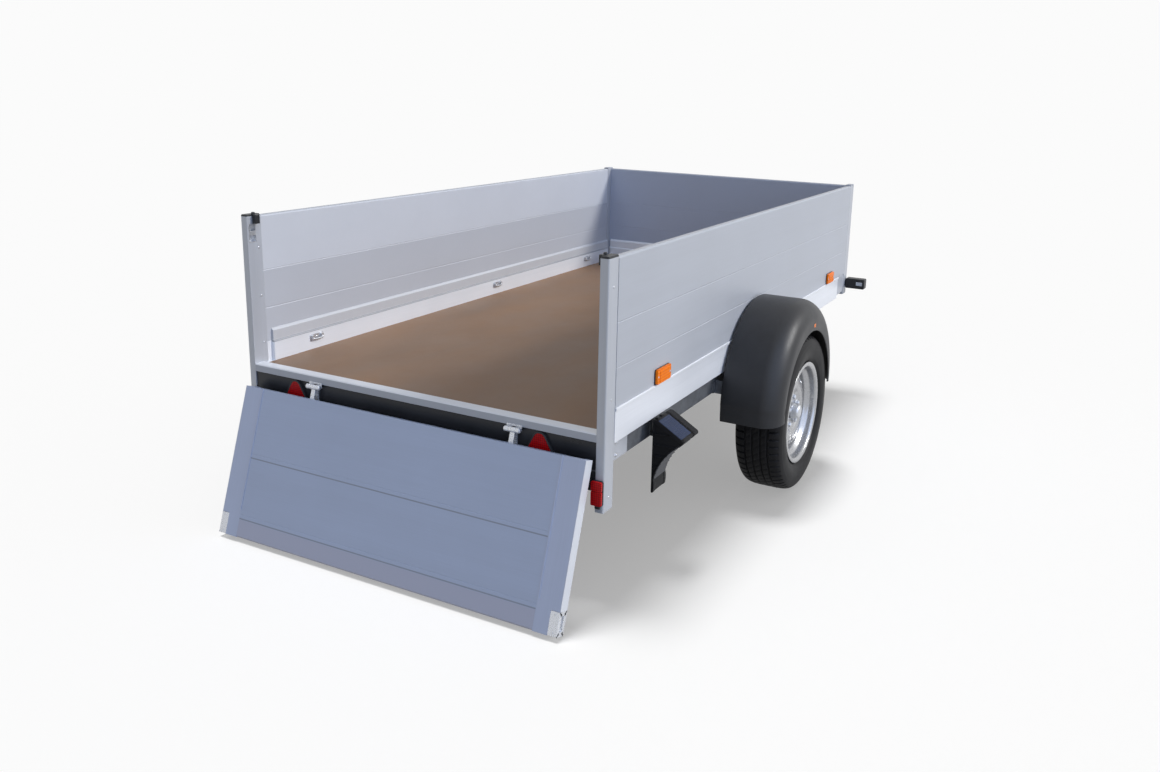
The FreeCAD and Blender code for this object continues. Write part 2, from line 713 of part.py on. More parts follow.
def drawbarArm():
    """Box section along the arm's line, mitred against the overrun housing."""
    half = ARM_WIDTH / 2 * math.hypot(1, armSlope)
    inner = half - ARM_GAUGE * math.hypot(1, armSlope)

    def slanted(reach, low, high):
        corners = [(x, armLine(x) + side) for x, side in (
            (armRearX, -reach), (armFrontX, -reach), (armFrontX, reach), (armRearX, reach))]
        return alongZ(corners, low, high)

    tube = slanted(half, armBottom, armTop).cut(slanted(inner, armBottom + ARM_GAUGE, armTop - ARM_GAUGE))
    return tube.cut(block(armRearX, armFrontX, -halfWidth, HOUSING_HALF, armBottom, armTop))


# Axle, swing arms and brakes

def axleBeam():
    half, bore = AXLE_TUBE / 2, AXLE_TUBE / 2 - AXLE_TUBE_GAUGE
    tube = block(tubeX - half, tubeX + half, -axleTubeHalf, axleTubeHalf, tubeZ - half, tubeZ + half)
    hollow = block(tubeX - bore, tubeX + bore, -axleTubeHalf, axleTubeHalf, tubeZ - bore, tubeZ + bore)
    return tube.cut(hollow)


def axleSaddle():
    """Bracket between the rail and the axle tube, with cheeks down the tube's sides."""
    half = AXLE_TUBE / 2
    y0 = innerHalf - SADDLE_SET_IN
    y1 = y0 + SADDLE_WIDTH
    seatTop = railBottom - SADDLE_CHEEK
    top = block(tubeX - SADDLE_LENGTH / 2, tubeX + SADDLE_LENGTH / 2, y0, y1, seatTop, railBottom)
    cheeks = [block(x, x + SADDLE_CHEEK, y0, y1, tubeZ - SADDLE_OVERLAP, seatTop)
              for x in (tubeX - half - SADDLE_CHEEK, tubeX + half)]
    seat = block(tubeX - half, tubeX + half, y0, y1, tubeZ + half, seatTop)
    return fused(top, *cheeks, seat)


def swingOutline():
    """Arm outline in (x, z): two round ends joined by tangent flanks."""
    slope = math.atan2(SWING_RISE, SWING_REACH)
    spread = math.asin((SWING_BIG - SWING_SMALL) / math.hypot(SWING_RISE, SWING_REACH))
    quarter = math.pi / 2 - spread
    steps = BAR_SIDE_COUNT
    points = []
    for x, z, radius, start, end in (
            (tubeX, tubeZ, SWING_BIG, slope - quarter, slope + quarter),
            (axleX, TYRE_RADIUS, SWING_SMALL, slope + quarter, slope + 2 * math.pi - quarter)):
        for i in range(steps + 1):
            angle = start + (end - start) * i / steps
            points.append((x + radius * math.cos(angle), z + radius * math.sin(angle)))
    return points


def swingArm():
    """Forged trailing arm from the tube's end down to the stub axle and brake backplate."""
    y0 = axleTubeHalf
    y1 = y0 + SWING_THICKNESS
    stub = shaft(STUB_RADIUS, V(axleX, y1, TYRE_RADIUS), V(axleX, trackHalf - STUB_SHORT, TYRE_RADIUS))
    edge, back = drumRadius + BACKPLATE_EXTRA, y1 + BACKPLATE_THICKNESS
    backplate = turned([(0, y1), (edge, y1), (edge, back), (0, back)], wheelCentre, ABOUT_Y, HUB_SIDE_COUNT)
    return fused(alongY(swingOutline(), y0, y1), stub, backplate)


# Wheels

def tyre():
    """Tyre section: bead, bulged sidewall, shoulder and a flat tread."""
    half = TYRE_WIDTH / 2
    wall = TYRE_RADIUS - rimFlangeRadius
    side = [
        (rimSeatRadius, rimHalf - 13), (rimFlangeRadius + 1, rimHalf - 9),
        (rimFlangeRadius + 0.13 * wall, half - 7),
        (rimFlangeRadius + 0.46 * wall, half), (rimFlangeRadius + 0.8 * wall, half - 8),
        (rimFlangeRadius + 0.94 * wall, half - 21), (TYRE_RADIUS, half - 44)]
    outline = [(r, trackHalf + w) for r, w in side] + [(r, trackHalf - w) for r, w in reversed(side)]
    return turned(outline, wheelCentre, ABOUT_Y, WHEEL_SIDE_COUNT)


def rimOutline():
    """One closed section: barrel with flanges, bead seats and drop centre, and the dished disc."""
    w, g = rimHalf, RIM_GAUGE
    bead, well, lip = rimSeatRadius - BEAD_GAP, rimWellRadius, rimFlangeRadius
    under = well - g
    outside = [(lip, w), (lip, w - g), (bead, w - 12), (bead - 1, 0.63 * w), (well, 0.46 * w),
               (well, -0.38 * w), (bead - 1, -0.56 * w), (bead, -w + 12), (lip, -w + g), (lip, -w)]
    inside = [(bead + 2, -w), (bead - g, -w + 8), (bead - g - 1, -0.58 * w), (under, -0.4 * w)]
    front = [(under, 0.48 * w), (bead - g - 1, 0.65 * w), (bead - g, w - 8), (bead + 2, w)]
    pilot, foot = HUB_PILOT + PILOT_GAP, HUB_RADIUS + 3
    reach = under - foot
    back = [(under, RIM_OFFSET - RIM_SET_BACK), (foot + 0.62 * reach, RIM_OFFSET + RIM_DISH - 6),
            (foot + 0.24 * reach, RIM_OFFSET + RIM_DISH), (foot, RIM_OFFSET), (pilot, RIM_OFFSET)]
    disc = back + [(r, a + RIM_DISC) for r, a in reversed(back)]
    return outside + inside + disc + front


def rim():
    """Pressed steel rim with round windows through the dished disc."""
    outline = [(r, trackHalf + a) for r, a in rimOutline()]
    solid = turned(outline, wheelCentre, ABOUT_Y, WHEEL_SIDE_COUNT)
    circle = (rimWellRadius - RIM_GAUGE) * 0.79
    cutters = []
    for i in range(WINDOW_COUNT):
        turn = 2 * math.pi * (i + 0.5) / WINDOW_COUNT
        x, z = axleX + circle * math.cos(turn), TYRE_RADIUS + circle * math.sin(turn)
        cutters.append(rod(WINDOW_RADIUS, V(x, trackHalf, z), V(x, trackHalf + rimHalf, z)))
    return solid.cut(cutters)


def hub():
    """Brake drum, bearing hub and grease cap, bored for the stub axle, with the wheel nuts."""
    seat = trackHalf + RIM_OFFSET
    start = axleTubeHalf + SWING_THICKNESS + BACKPLATE_THICKNESS + RUN_GAP
    bore, end = STUB_RADIUS + SHAFT_GAP, trackHalf - STUB_SHORT + RUN_GAP
    outline = [
        (0, end), (bore, end), (bore, start), (drumRadius, start), (drumRadius, start + DRUM_DEPTH),
        (HUB_RADIUS, start + DRUM_DEPTH + RUN_GAP), (HUB_RADIUS, seat), (HUB_PILOT, seat),
        (HUB_PILOT - 2, seat + HUB_CAP - 6), (HUB_PILOT - 9, seat + HUB_CAP), (0, seat + HUB_CAP)]
    solids = [turned(outline, wheelCentre, ABOUT_Y, HUB_SIDE_COUNT)]
    for i in range(STUD_COUNT):
        turn = 2 * math.pi * i / STUD_COUNT + math.pi / 2
        foot = V(axleX + STUD_CIRCLE * math.cos(turn), seat + RIM_DISC + SHAFT_GAP,
                 TYRE_RADIUS + STUD_CIRCLE * math.sin(turn))
        solids.append(rod(NUT_RADIUS, foot, foot.add(V(0, NUT_HEIGHT, 0)), 6))
    return Part.makeCompound(solids)


# Mudguards

def guardAngle(i):
    """Angle of the guard's i-th fold, from its front end over the top to its rear end."""
    sweep = 180 + GUARD_FRONT_DIP + GUARD_REAR_DIP
    return math.radians(sweep * i / GUARD_SIDE_COUNT - GUARD_FRONT_DIP)


def guardOutline(angle):
    """Guard's section at an angle: rounded outer shoulder, and a side lip that is deepest over the wheel."""
    r, t, s = guardRadius, GUARD_SHELL, GUARD_SHOULDER
    lip = r - GUARD_LIP - GUARD_LIP_DEEPER * max(0.0, math.sin(angle))
    turns = [math.pi / 2 * i / SHOULDER_SIDE_COUNT for i in range(SHOULDER_SIDE_COUNT + 1)]
    outer = [(r - s + s * math.cos(a), guardOuter - s + s * math.sin(a)) for a in turns]
    inner = [(r - s + (s - t) * math.cos(a), guardOuter - s + (s - t) * math.sin(a))
             for a in reversed(turns)]
    outline = [(r - GUARD_INNER_LIP, guardInner), (r, guardInner)] + outer
    outline += [(lip, guardOuter), (lip, guardOuter - t)] + inner
    return outline + [(r - t, guardInner + t), (r - GUARD_INNER_LIP, guardInner + t)]


def mudguard():
    """Arched shell over the wheel, through its sections at each fold."""
    angles = [guardAngle(i) for i in range(GUARD_SIDE_COUNT + 1)]
    return throughRings([sectionAt(guardOutline(a), guardCentre, ABOUT_Y, a) for a in angles], False)


def guardStrap(first):
    """Joggled strap under one flat of the shell and inside its inner lip, with a foot on the rail."""
    high = guardRadius - GUARD_SHELL - SEAT_GAP
    low = guardRadius - GUARD_INNER_LIP - SEAT_GAP
    g = STRAP_GAUGE
    step = guardInner + GUARD_SHELL + SEAT_GAP
    end = guardOuter - GUARD_SHOULDER
    outline = [(low, innerHalf), (low, step), (high, step), (high, end), (high - g, end),
               (high - g, step + g), (low - g, step + g), (low - g, innerHalf)]
    sections = [sectionAt(outline, guardCentre, ABOUT_Y, guardAngle(first + i)) for i in range(2)]
    strap = throughRings(sections, False)
    root = sections[0][0].add(sections[1][0]).multiply(0.5)
    half = STRAP_FOOT / 2
    foot = block(root.x - half, root.x + half, innerHalf, innerHalf + g, root.z - half,
                 root.z + half)
    return fused(strap, foot)


# Tailgate, built closed and then swung open

def opened(shape):
    shape.rotate(V(hingeX, 0, hingeZ), AXIS_Y, GATE_LEAN - 180)
    return shape


gateInner = rearX + GATE_SET_IN
gateOuter = gateInner - WALL
gateEndOuter = gateOuter - GATE_END_PROUD
latchFoot = wallTop - LATCH_HEIGHT


def gatePanel():
    half = gateHalf - GATE_END
    return opened(alongY(boardOutline(gateFoot, gateInner, GATE_SEAM_DROPS), -half, half))


def gateEnd():
    """End profile on the boards' ends: rib inside, flange outside, and a corner left out for the latch."""
    y0, y1 = gateHalf - GATE_END, gateHalf
    fold = y1 - GATE_END_FLANGE
    solid = alongZ([(gateInner, y0), (gateInner, y1), (gateEndOuter, y1), (gateEndOuter, fold),
                    (gateOuter, fold), (gateOuter, y0)], gateFoot, wallTop)
    rib = block(gateInner, gateInner + GATE_RIB_PROUD, y0, y0 + GATE_RIB, gateFoot, wallTop - GATE_RIB_SHORT)
    corner = block(gateEndOuter, gateInner, y1 - LATCH_WIDTH, y1, latchFoot, wallTop)
    return opened(fused(solid.cut(corner), rib))


def gateLatch():
    """Latch casting in the free corner, with its bolt slot in the end and a lever outside."""
    y0, y1 = gateHalf - LATCH_WIDTH, gateHalf
    casting = block(gateEndOuter, gateInner, y0, y1, latchFoot, wallTop)
    middle = (gateOuter + gateInner) / 2
    slot = block(middle - LATCH_SLOT / 2, middle + LATCH_SLOT / 2, y1 - LATCH_SLOT, y1,
                 latchFoot + LATCH_SLOT, wallTop - LATCH_SLOT)
    x1 = gateEndOuter
    lever = block(x1 - LATCH_LEVER, x1, y0 + LATCH_SLOT / 2, y1 - LATCH_SLOT / 2, latchFoot - LATCH_SLOT,
                  wallTop - 2 * LATCH_SLOT)
    lever = bevelled(lever, CAP_BEVEL, lambda e: liesAt(e, AXIS_X, x1 - LATCH_LEVER))
    return opened(fused(casting.cut(slot), lever))


def latchKeeper():
    """Keeper let into the post, flush with its inner face: a cup with a bar across its mouth."""
    cup = keeperBlock(postInner, 0).cut(keeperBlock(postInner, KEEPER_GAUGE))
    middle = wallTop - KEEPER_DROP + KEEPER_HEIGHT / 2
    bar = block(rearX + KEEPER_START, rearX + KEEPER_START + KEEPER_LENGTH, postInner,
                postInner + KEEPER_GAUGE, middle - KEEPER_BAR / 2, middle + KEEPER_BAR / 2)
    return fused(cup, bar)


def knuckle(y0, y1, bore):
    """One barrel of the hinge, with the hole for its pin."""
    outline = [(bore, y0), (HINGE_BARREL, y0), (HINGE_BARREL, y1), (bore, y1)]
    return turned(outline, V(hingeX, 0, hingeZ), ABOUT_Y, TUBE_SIDE_COUNT)


def hingeLeaf():
    """Moving leaf on the tailgate's outer face, with a narrow neck to the middle barrel round the pin."""
    half, neck = HINGE_WIDTH / 2, HINGE_STEM / 2
    middle = half - HINGE_WIDTH / 4 - HINGE_PLAY
    leafTop = gateFoot + HINGE_LEAF_RISE
    plate = block(gateOuter - HINGE_LEAF, gateOuter, hingeY - half, hingeY + half, gateFoot, leafTop)
    strip = block(gateOuter - HINGE_LEAF, gateOuter, hingeY - neck, hingeY + neck, hingeZ + HINGE_PIN + 2,
                  gateFoot)
    return opened(fused(plate, strip, knuckle(hingeY - middle, hingeY + middle, HINGE_PIN + SHAFT_GAP)))


def hingeBracket():
    """Fixed bracket on the rear edge, with the outer barrels, the pin and a stem down the cross-member."""
    half, width = HINGE_WIDTH / 2, HINGE_WIDTH / 4
    parts = [shaft(HINGE_PIN, V(hingeX, hingeY - half, hingeZ), V(hingeX, hingeY + half, hingeZ))]
    for y0 in (hingeY - half, hingeY + half - width):
        parts.append(turned([(0, y0), (HINGE_BARREL, y0), (HINGE_BARREL, y0 + width), (0, y0 + width)],
                            V(hingeX, 0, hingeZ), ABOUT_Y, TUBE_SIDE_COUNT))
        parts.append(block(hingeX, rearX, y0, y0 + width, hingeZ - HINGE_PIN, hingeZ + HINGE_PIN))
    plate = block(rearX - HINGE_PLATE, rearX, hingeY - half, hingeY + half, hingeZ - HINGE_PLATE,
                  floorBottom + HINGE_PLATE)
    stem = block(rearX - HINGE_PLATE, rearX + EDGE_GAUGE, hingeY - HINGE_STEM / 2, hingeY + HINGE_STEM / 2,
                 railBottom + HINGE_STEM_LIFT, floorTop - EDGE_DROP)
    return fused(*parts, plate, stem)


# Lamps, reflectors and markers

def lampCarrier():
    """Black carrier between the rail and the rear post's foot, beside the red lamp."""
    z0 = postFoot + CARRIER_DROP
    box = block(rearX + EDGE_GAUGE, rearX + POST_DEPTH, postInner - CARRIER_WIDTH, postInner, z0, railBottom)
    return bevelled(box, LAMP_BEVEL, lambda e: runsAlong(e, AXIS_X) and liesAt(e, AXIS_Z, z0))


def gateStop():
    """Rubber buffer on the carrier, just short of the open tailgate's end flange."""
    y, z = gateHalf - STOP_IN, railBottom - STOP_DROP
    lean = math.radians(GATE_LEAN)
    back = hingeX - gateEndOuter
    gateFace = hingeX - math.tan(lean) * (hingeZ - z) + back / math.cos(lean)
    return rod(STOP_RADIUS, V(rearX + EDGE_GAUGE, y, z), V(gateFace + RUN_GAP + STOP_RADIUS / 2, y, z))


def tailLamp():
    z0 = postFoot + LAMP_LIFT
    body = block(rearX - LAMP_DEPTH, rearX, innerHalf - LAMP_OVERLAP, halfWidth, z0, z0 + LAMP_HEIGHT)
    return bevelled(body, LAMP_BEVEL, lambda e: liesAt(e, AXIS_X, rearX - LAMP_DEPTH))


def rearReflector():
    """Triangular reflector with round corners on the rear cross-member."""
    reach = REFLECTOR_SIDE / math.sqrt(3) - 2 * REFLECTOR_ROUND
    middle = floorTop - EDGE_DROP - REFLECTOR_GAP - REFLECTOR_ROUND - reach
    outline = []
    for corner in (90, 210, 330):
        turn = math.radians(corner)
        y = halfWidth - REFLECTOR_IN + reach * math.cos(turn)
        z = middle + reach * math.sin(turn)
        for step in range(ROUND_STEP_COUNT + 1):
            angle = turn + math.radians(120 * step / ROUND_STEP_COUNT - 60)
            outline.append((y + REFLECTOR_ROUND * math.cos(angle), z + REFLECTOR_ROUND * math.sin(angle)))
    return alongX(outline, rearX - REFLECTOR_PROUD, rearX + EDGE_GAUGE)


def sideMarker(x):
    outer, z0 = halfWidth + MARKER_DEPTH, sillTop + MARKER_RISE
    solid = block(x - MARKER_LENGTH / 2, x + MARKER_LENGTH / 2, halfWidth, outer, z0, z0 + MARKER_HEIGHT)
    return bevelled(solid, MARKER_BEVEL, lambda e: liesAt(e, AXIS_Y, outer))


def frontLamp():
    """Position lamp housing on a stub arm from the front post."""
    face1 = frontX + FRONT_LAMP_PROUD
    z0 = sillBottom + FRONT_LAMP_LIFT
    z1 = z0 + FRONT_LAMP_HEIGHT
    y0, y1 = halfWidth + FRONT_LAMP_NECK, halfWidth + FRONT_LAMP_REACH
    housing = block(face1 - FRONT_LAMP_DEPTH, face1, y0, y1, z0, z1)
    housing = bevelled(housing, FRONT_LAMP_BEVEL, lambda e: runsAlong(e, AXIS_X))
    arm = block(frontX - POST_DEPTH / 2, frontX - POST_WALL - 1, halfWidth, y0, z0 + FRONT_LENS,
                z1 - FRONT_LENS)
    return fused(housing, arm)


def frontLens():
    face1 = frontX + FRONT_LAMP_PROUD
    z0, edge = sillBottom + FRONT_LAMP_LIFT, FRONT_LENS_EDGE
    lens = block(face1, face1 + FRONT_LENS, halfWidth + FRONT_LAMP_NECK + edge,
                 halfWidth + FRONT_LAMP_REACH - edge, z0 + edge, z0 + FRONT_LAMP_HEIGHT - edge)
    return bevelled(lens, edge, lambda e: liesAt(e, AXIS_X, face1 + FRONT_LENS))


# Lashing eyes and chocks

def lashingEye(x):
    """Two small lugs and a bow on the skirt."""
    y, z = innerHalf - SKIRT_LOW, floorTop + EYE_RISE
    lugs = [block(x + side - EYE_LUG / 2, x + side + EYE_LUG / 2, y - EYE_LUG, y, z - EYE_LUG_HEIGHT / 2,
                  z + EYE_LUG_HEIGHT / 2) for side in (-EYE_SPREAD, EYE_SPREAD)]
    path = [V(x + side, y - EYE_LUG / 2, z - EYE_WIRE) for side in (-EYE_SPREAD, EYE_SPREAD)]
    return fused(lugs[0], lugs[1], bar(EYE_WIRE, path, AXIS_Z))


chockInner = halfWidth + SILL_LIP_PROUD
chockTop = sillBottom - CHOCK_DROP


def chock():
    """Wheel chock stored on edge: flat back, slanted top, and a hollow arc that fits the tyre."""
    x0, outer = rearX + CHOCK_REAR, chockInner + CHOCK_REACH
    tip = chockTop - CHOCK_SLANT
    a, b = V(x0, outer, tip - CHOCK_TIP), V(x0, chockInner, chockTop - CHOCK_HEIGHT)
    chord = b.sub(a)
    inwards = V(0, chord.z, -chord.y).normalize().multiply(CHOCK_HOLLOW)
    bulge = a.add(b).multiply(0.5).add(inwards)
    corners = [b, V(x0, chockInner, chockTop), V(x0, chockInner + CHOCK_LAND, chockTop), V(x0, outer, tip),
               a]
    edges = [Part.LineSegment(corners[i], corners[i + 1]).toShape() for i in range(len(corners) - 1)]
    edges.append(Part.Arc(a, bulge, b).toShape())
    return Part.Face(Part.Wire(edges)).extrude(V(CHOCK_WIDTH, 0, 0))


def chockHolder():
    """Bent bracket from the rail's web out to the chock's flat back."""
    middle = rearX + CHOCK_REAR + CHOCK_WIDTH / 2
    x0, x1 = middle - HOLDER_WIDTH / 2, middle + HOLDER_WIDTH / 2
    low, high = chockTop - HOLDER_HEIGHT, chockTop - CHOCK_DROP
    g = HOLDER_GAUGE
    bridge = railBottom + RAIL_GAUGE
    return fused(block(x0, x1, chockInner - g, chockInner, low, high),
                 block(x0, x1, innerHalf, innerHalf + g, bridge, high),
                 block(x0, x1, innerHalf, chockInner, bridge, bridge + g))


# Overrun coupling

def overrunHousing():
    """Cast housing between the arms' ends, round in front, with the flange that holds the gaiter."""
    x0, x1 = housingRearX, housingFrontX
    base = block(x0, x1 - HOUSING_BASE_SHORT, -HOUSING_HALF, HOUSING_HALF, armBottom, armTop)
    radius = HOUSING_HALF - 2
    barrel = turned([(0, x0), (radius, x0), (radius, x1 - FLANGE_WIDTH), (FLANGE_RADIUS, x1 - FLANGE_WIDTH),
                     (FLANGE_RADIUS, x1), (0, x1)], V(0, 0, shaftZ), ABOUT_X, HUB_SIDE_COUNT)
    return fused(base, barrel)


def gaiter():
    """Ribbed rubber gaiter over the shaft, between the housing and the coupling head."""
    x = housingFrontX
    outline = [(0, x), (GAITER_RADIUS - GAITER_TAPER, x)]
    for i in range(GAITER_FOLDS):
        outline += [(GAITER_RADIUS - GAITER_TAPER * i, x + GAITER_PITCH * (i + 0.5)),
                    (GAITER_NECK - GAITER_TAPER * i, x + GAITER_PITCH * (i + 1))]
    outline.append((0, x + GAITER_PITCH * GAITER_FOLDS))
    return turned(outline, V(0, 0, shaftZ), ABOUT_X, TUBE_SIDE_COUNT)


def couplingHead():
    """Pressed coupling head: neck, tapered bridge, and a dome with the ball's socket underneath."""
    x0 = housingFrontX + GAITER_PITCH * GAITER_FOLDS
    neck = turned([(0, x0), (NECK_RADIUS, x0), (NECK_RADIUS, x0 + NECK_LENGTH), (0, x0 + NECK_LENGTH)],
                  V(0, 0, shaftZ), ABOUT_X, TUBE_SIDE_COUNT)
    high = shaftZ + HEAD_BRIDGE
    bridge = block(x0 + NECK_LENGTH - 20, ballX, -HEAD_BRIDGE, HEAD_BRIDGE, shaftZ - HEAD_FOOT, high)
    bridge = bevelled(bridge, 10, lambda e: runsAlong(e, AXIS_X) and liesAt(e, AXIS_Z, high))
    foot, top, r = -HEAD_FOOT, HEAD_TOP, HEAD_RADIUS
    dome = turned([(0, foot), (r, foot), (r, 0.2 * top), (0.87 * r, 0.63 * top), (0.6 * r, 0.9 * top),
                   (0.3 * r, top), (0, top)], V(ballX, 0, shaftZ), ABOUT_Z, HUB_SIDE_COUNT)
    ball = BALL_RADIUS + BALL_GAP
    socket = turned([(0, foot - 1), (ball, foot - 1), (ball, 0), (0.87 * ball, 0.5 * ball),
                     (0.5 * ball, 0.87 * ball), (0, ball)], V(ballX, 0, shaftZ + BALL_LIFT), ABOUT_Z,
                    HUB_SIDE_COUNT)
    mouth = rod(BALL_RADIUS + BALL_GAP, V(ballX, 0, shaftZ + foot - 1), V(ballX, 0, shaftZ), HUB_SIDE_COUNT)
    return fused(neck, bridge, dome).cut([socket, mouth])


def couplingHandle():
    """Release handle standing on the head's dome and reaching back over the neck."""
    z = shaftZ + HEAD_TOP
    front = V(ballX - 10, 0, z + GRIP_RISE)
    grip = bar(GRIP_RADIUS, [front, front.add(V(-GRIP_LENGTH, 0, 20))], AXIS_Y)
    stem = block(ballX - GRIP_RADIUS, ballX + GRIP_RADIUS - 1, -GRIP_RADIUS + 1, GRIP_RADIUS - 1, z,
                 z + GRIP_RISE)
    return fused(grip, stem)


def handbrake():
    """Bent handbrake lever on the housing's left side, with its quadrant."""
    x, z, y = housingRearX + BRAKE_PIVOT, armTop - 20, HOUSING_HALF
    half = BRAKE_PLATE / 2
    high = z + BRAKE_PLATE + 10
    quadrant = alongY([(x - half, z), (x + half, z), (x + half, z + half), (x + half / 2, high),
                       (x - half / 2, high), (x - half, z + half)], y, y + 6)
    low = V(x, y + 15, z + 40)
    knee = low.add(V(BRAKE_KNEE_AHEAD, 0, BRAKE_KNEE))
    top = low.add(V(-BRAKE_LEVER_BACK, 0, BRAKE_LEVER))
    boss = rod(12, V(x, y + 6, z + 40), V(x, y + 26, z + 40), TUBE_SIDE_COUNT)
    return fused(quadrant, boss, bar(GRIP_RADIUS, [low, knee, top], AXIS_Y))


def brakeRod():
    z = armBottom + BRAKE_ROD_LIFT
    return rod(BRAKE_ROD_RADIUS, V(tubeX + AXLE_TUBE / 2, 0, z), V(housingRearX, 0, z))


# Jockey wheel

jockeyX = noseX - JOCKEY_NOSE_GAP
jockeyY = armLine(jockeyX) + ARM_WIDTH / 2 + JOCKEY_ARM_GAP + JOCKEY_TUBE_RADIUS
jockeyTubeTop = armTop + JOCKEY_TUBE_RISE
crownFoot = 2 * JOCKEY_WHEEL_RADIUS + FORK_CROWN_GAP
legFoot = crownFoot + FORK_CROWN
jockeyLine = V(jockeyX, jockeyY, 0)


def jockeyTube():
    """Outer tube held in the clamp, with the crank handle on top."""
    foot, top = armBottom + JOCKEY_TUBE_LIFT, jockeyTubeTop
    bore = JOCKEY_TUBE_BORE
    closed = top - JOCKEY_TUBE_END
    tube = turned([(bore, foot), (JOCKEY_TUBE_RADIUS, foot), (JOCKEY_TUBE_RADIUS, top), (0, top),
                   (0, closed), (bore, closed)], jockeyLine, ABOUT_Z, TUBE_SIDE_COUNT)
    end = V(jockeyX + JOCKEY_CRANK, jockeyY, top + JOCKEY_TUBE_RADIUS)
    start = V(jockeyX, jockeyY, top - 4)
    crank = bar(7, [start, V(jockeyX, jockeyY, end.z), end, end.add(V(0, 0, 12))], AXIS_Y)
    grip = rod(11, end.add(V(0, 0, 8)), end.add(V(0, 0, JOCKEY_GRIP)))
    return fused(tube, crank, grip)


def jockeyClamp():
    """Clamp block on the drawbar arm's outer face, round the outer tube."""
    low, high = armBottom + CLAMP_EDGE, armTop - CLAMP_EDGE
    middle = (low + high) / 2
    lean = ARM_WIDTH / 2 * math.hypot(1, armSlope)
    x0, x1 = jockeyX - CLAMP_HALF, jockeyX + CLAMP_HALF
    body = alongZ([(x0, armLine(x0) + lean), (x0, jockeyY), (x1, jockeyY), (x1, armLine(x1) + lean)],
                  low, high)
    outer = JOCKEY_TUBE_RADIUS + CLAMP_RING
    ring = turned([(0, low), (outer, low), (outer, high), (0, high)], jockeyLine, ABOUT_Z, TUBE_SIDE_COUNT)
    bore = JOCKEY_TUBE_RADIUS + SEAT_GAP
    hole = turned([(0, low - 1), (bore, low - 1), (bore, high + 1), (0, high + 1)], jockeyLine, ABOUT_Z,
                  TUBE_SIDE_COUNT)
    end = jockeyY + outer + CLAMP_SCREW
    screw = rod(7, V(jockeyX, jockeyY + outer - 2, middle), V(jockeyX, end, middle))
    lever = block(jockeyX - 6, jockeyX + 6, end - 6, end + 2, middle - CLAMP_LEVER_DROP,
                  middle + CLAMP_LEVER_RISE)
    return fused(body, ring, screw, lever).cut(hole)


def jockeyLeg():
    """Sliding inner tube, bored at its foot for the fork's pivot pin."""
    top, pin = jockeyTubeTop - JOCKEY_LEG_DROP, JOCKEY_PIN + SHAFT_GAP
    boreTop = legFoot + JOCKEY_PIN_LENGTH + RUN_GAP
    return turned([(pin, legFoot), (JOCKEY_LEG_RADIUS, legFoot), (JOCKEY_LEG_RADIUS, top), (0, top),
                   (0, boreTop), (pin, boreTop)], jockeyLine, ABOUT_Z, TUBE_SIDE_COUNT)


def jockeyFork():
    """Castor fork: pivot pin, crown, two cheeks raked back to the wheel's axle."""
    wheelX, wheelZ = jockeyX - JOCKEY_TRAIL, JOCKEY_WHEEL_RADIUS
    inner = JOCKEY_WHEEL_WIDTH / 2 + FORK_SIDE_GAP
    outer = inner + FORK_GAUGE
    crownTop = legFoot - SHAFT_GAP
    crown = block(wheelX - 26, jockeyX + 26, jockeyY - outer, jockeyY + outer, crownFoot, crownTop)
    crown = bevelled(crown, 12, lambda e: runsAlong(e, AXIS_Z))
    pin = shaft(JOCKEY_PIN, V(jockeyX, jockeyY, crownTop), V(jockeyX, jockeyY, crownTop + JOCKEY_PIN_LENGTH))
    cheek = [(wheelX - 20, wheelZ), (wheelX - 14, crownFoot + 4), (jockeyX + 14, crownFoot + 4),
             (wheelX + 20, wheelZ), (wheelX + 12, wheelZ - 18), (wheelX - 12, wheelZ - 18)]
    cheeks = [alongY(cheek, y0, y0 + FORK_GAUGE) for y0 in (jockeyY - outer, jockeyY + inner)]
    ends = outer + FORK_GAUGE
    axle = shaft(JOCKEY_AXLE, V(wheelX, jockeyY - ends, wheelZ), V(wheelX, jockeyY + ends, wheelZ))
    return fused(crown, pin, *cheeks, axle)


def jockeyWheel():
    """Solid rubber wheel on a webbed plastic centre."""
    half, radius = JOCKEY_WHEEL_WIDTH / 2, JOCKEY_WHEEL_RADIUS
    side = [(JOCKEY_AXLE + SHAFT_GAP, half), (0.26 * radius, half), (0.3 * radius, half - 10),
            (0.68 * radius, half - 10), (0.72 * radius, half - 2), (radius, half - 10)]
    outline = [(r, jockeyY + w) for r, w in side] + [(r, jockeyY - w) for r, w in reversed(side)]
    return turned(outline, V(jockeyX - JOCKEY_TRAIL, 0, radius), ABOUT_Y, JOCKEY_WHEEL_SIDE_COUNT)


# Assembly

keep("side_rails", bothSides(sideRail()))
keep("cross_members", crossMembers())
keep("rear_cross_member", rearCrossMember())
keep("drawbar_arms", bothSides(drawbarArm()))
keep("axle_beam", axleBeam())
keep("axle_saddles", bothSides(axleSaddle()))
keep("swing_arms", bothSides(swingArm()))
keep("brake_rod", brakeRod())

keep("floor_panel", floorPanel())
keepPair("side_wall", sideWall())
keep("front_wall", frontWall())
keep("sills", bothSides(sill()))
keep("sill_corners", bothSides(sillCorner()))
keep("skirts", bothSides(skirt()))
keep("front_sill", frontSill())
keep("rear_edge_profile", rearEdgeProfile())
keep("rear_posts", bothSides(rearPost()))
keep("front_posts", bothSides(frontPost()))
keep("post_caps", Part.makeCompound([bothSides(rearPostCap()), bothSides(postCap(frontX - POST_DEPTH))]))

keepPair("mudguard", mudguard())
keep("mudguard_straps", Part.makeCompound([
    bothSides(guardStrap(first)) for first in (STRAP_FLAT, GUARD_SIDE_COUNT - 1 - STRAP_FLAT)]))

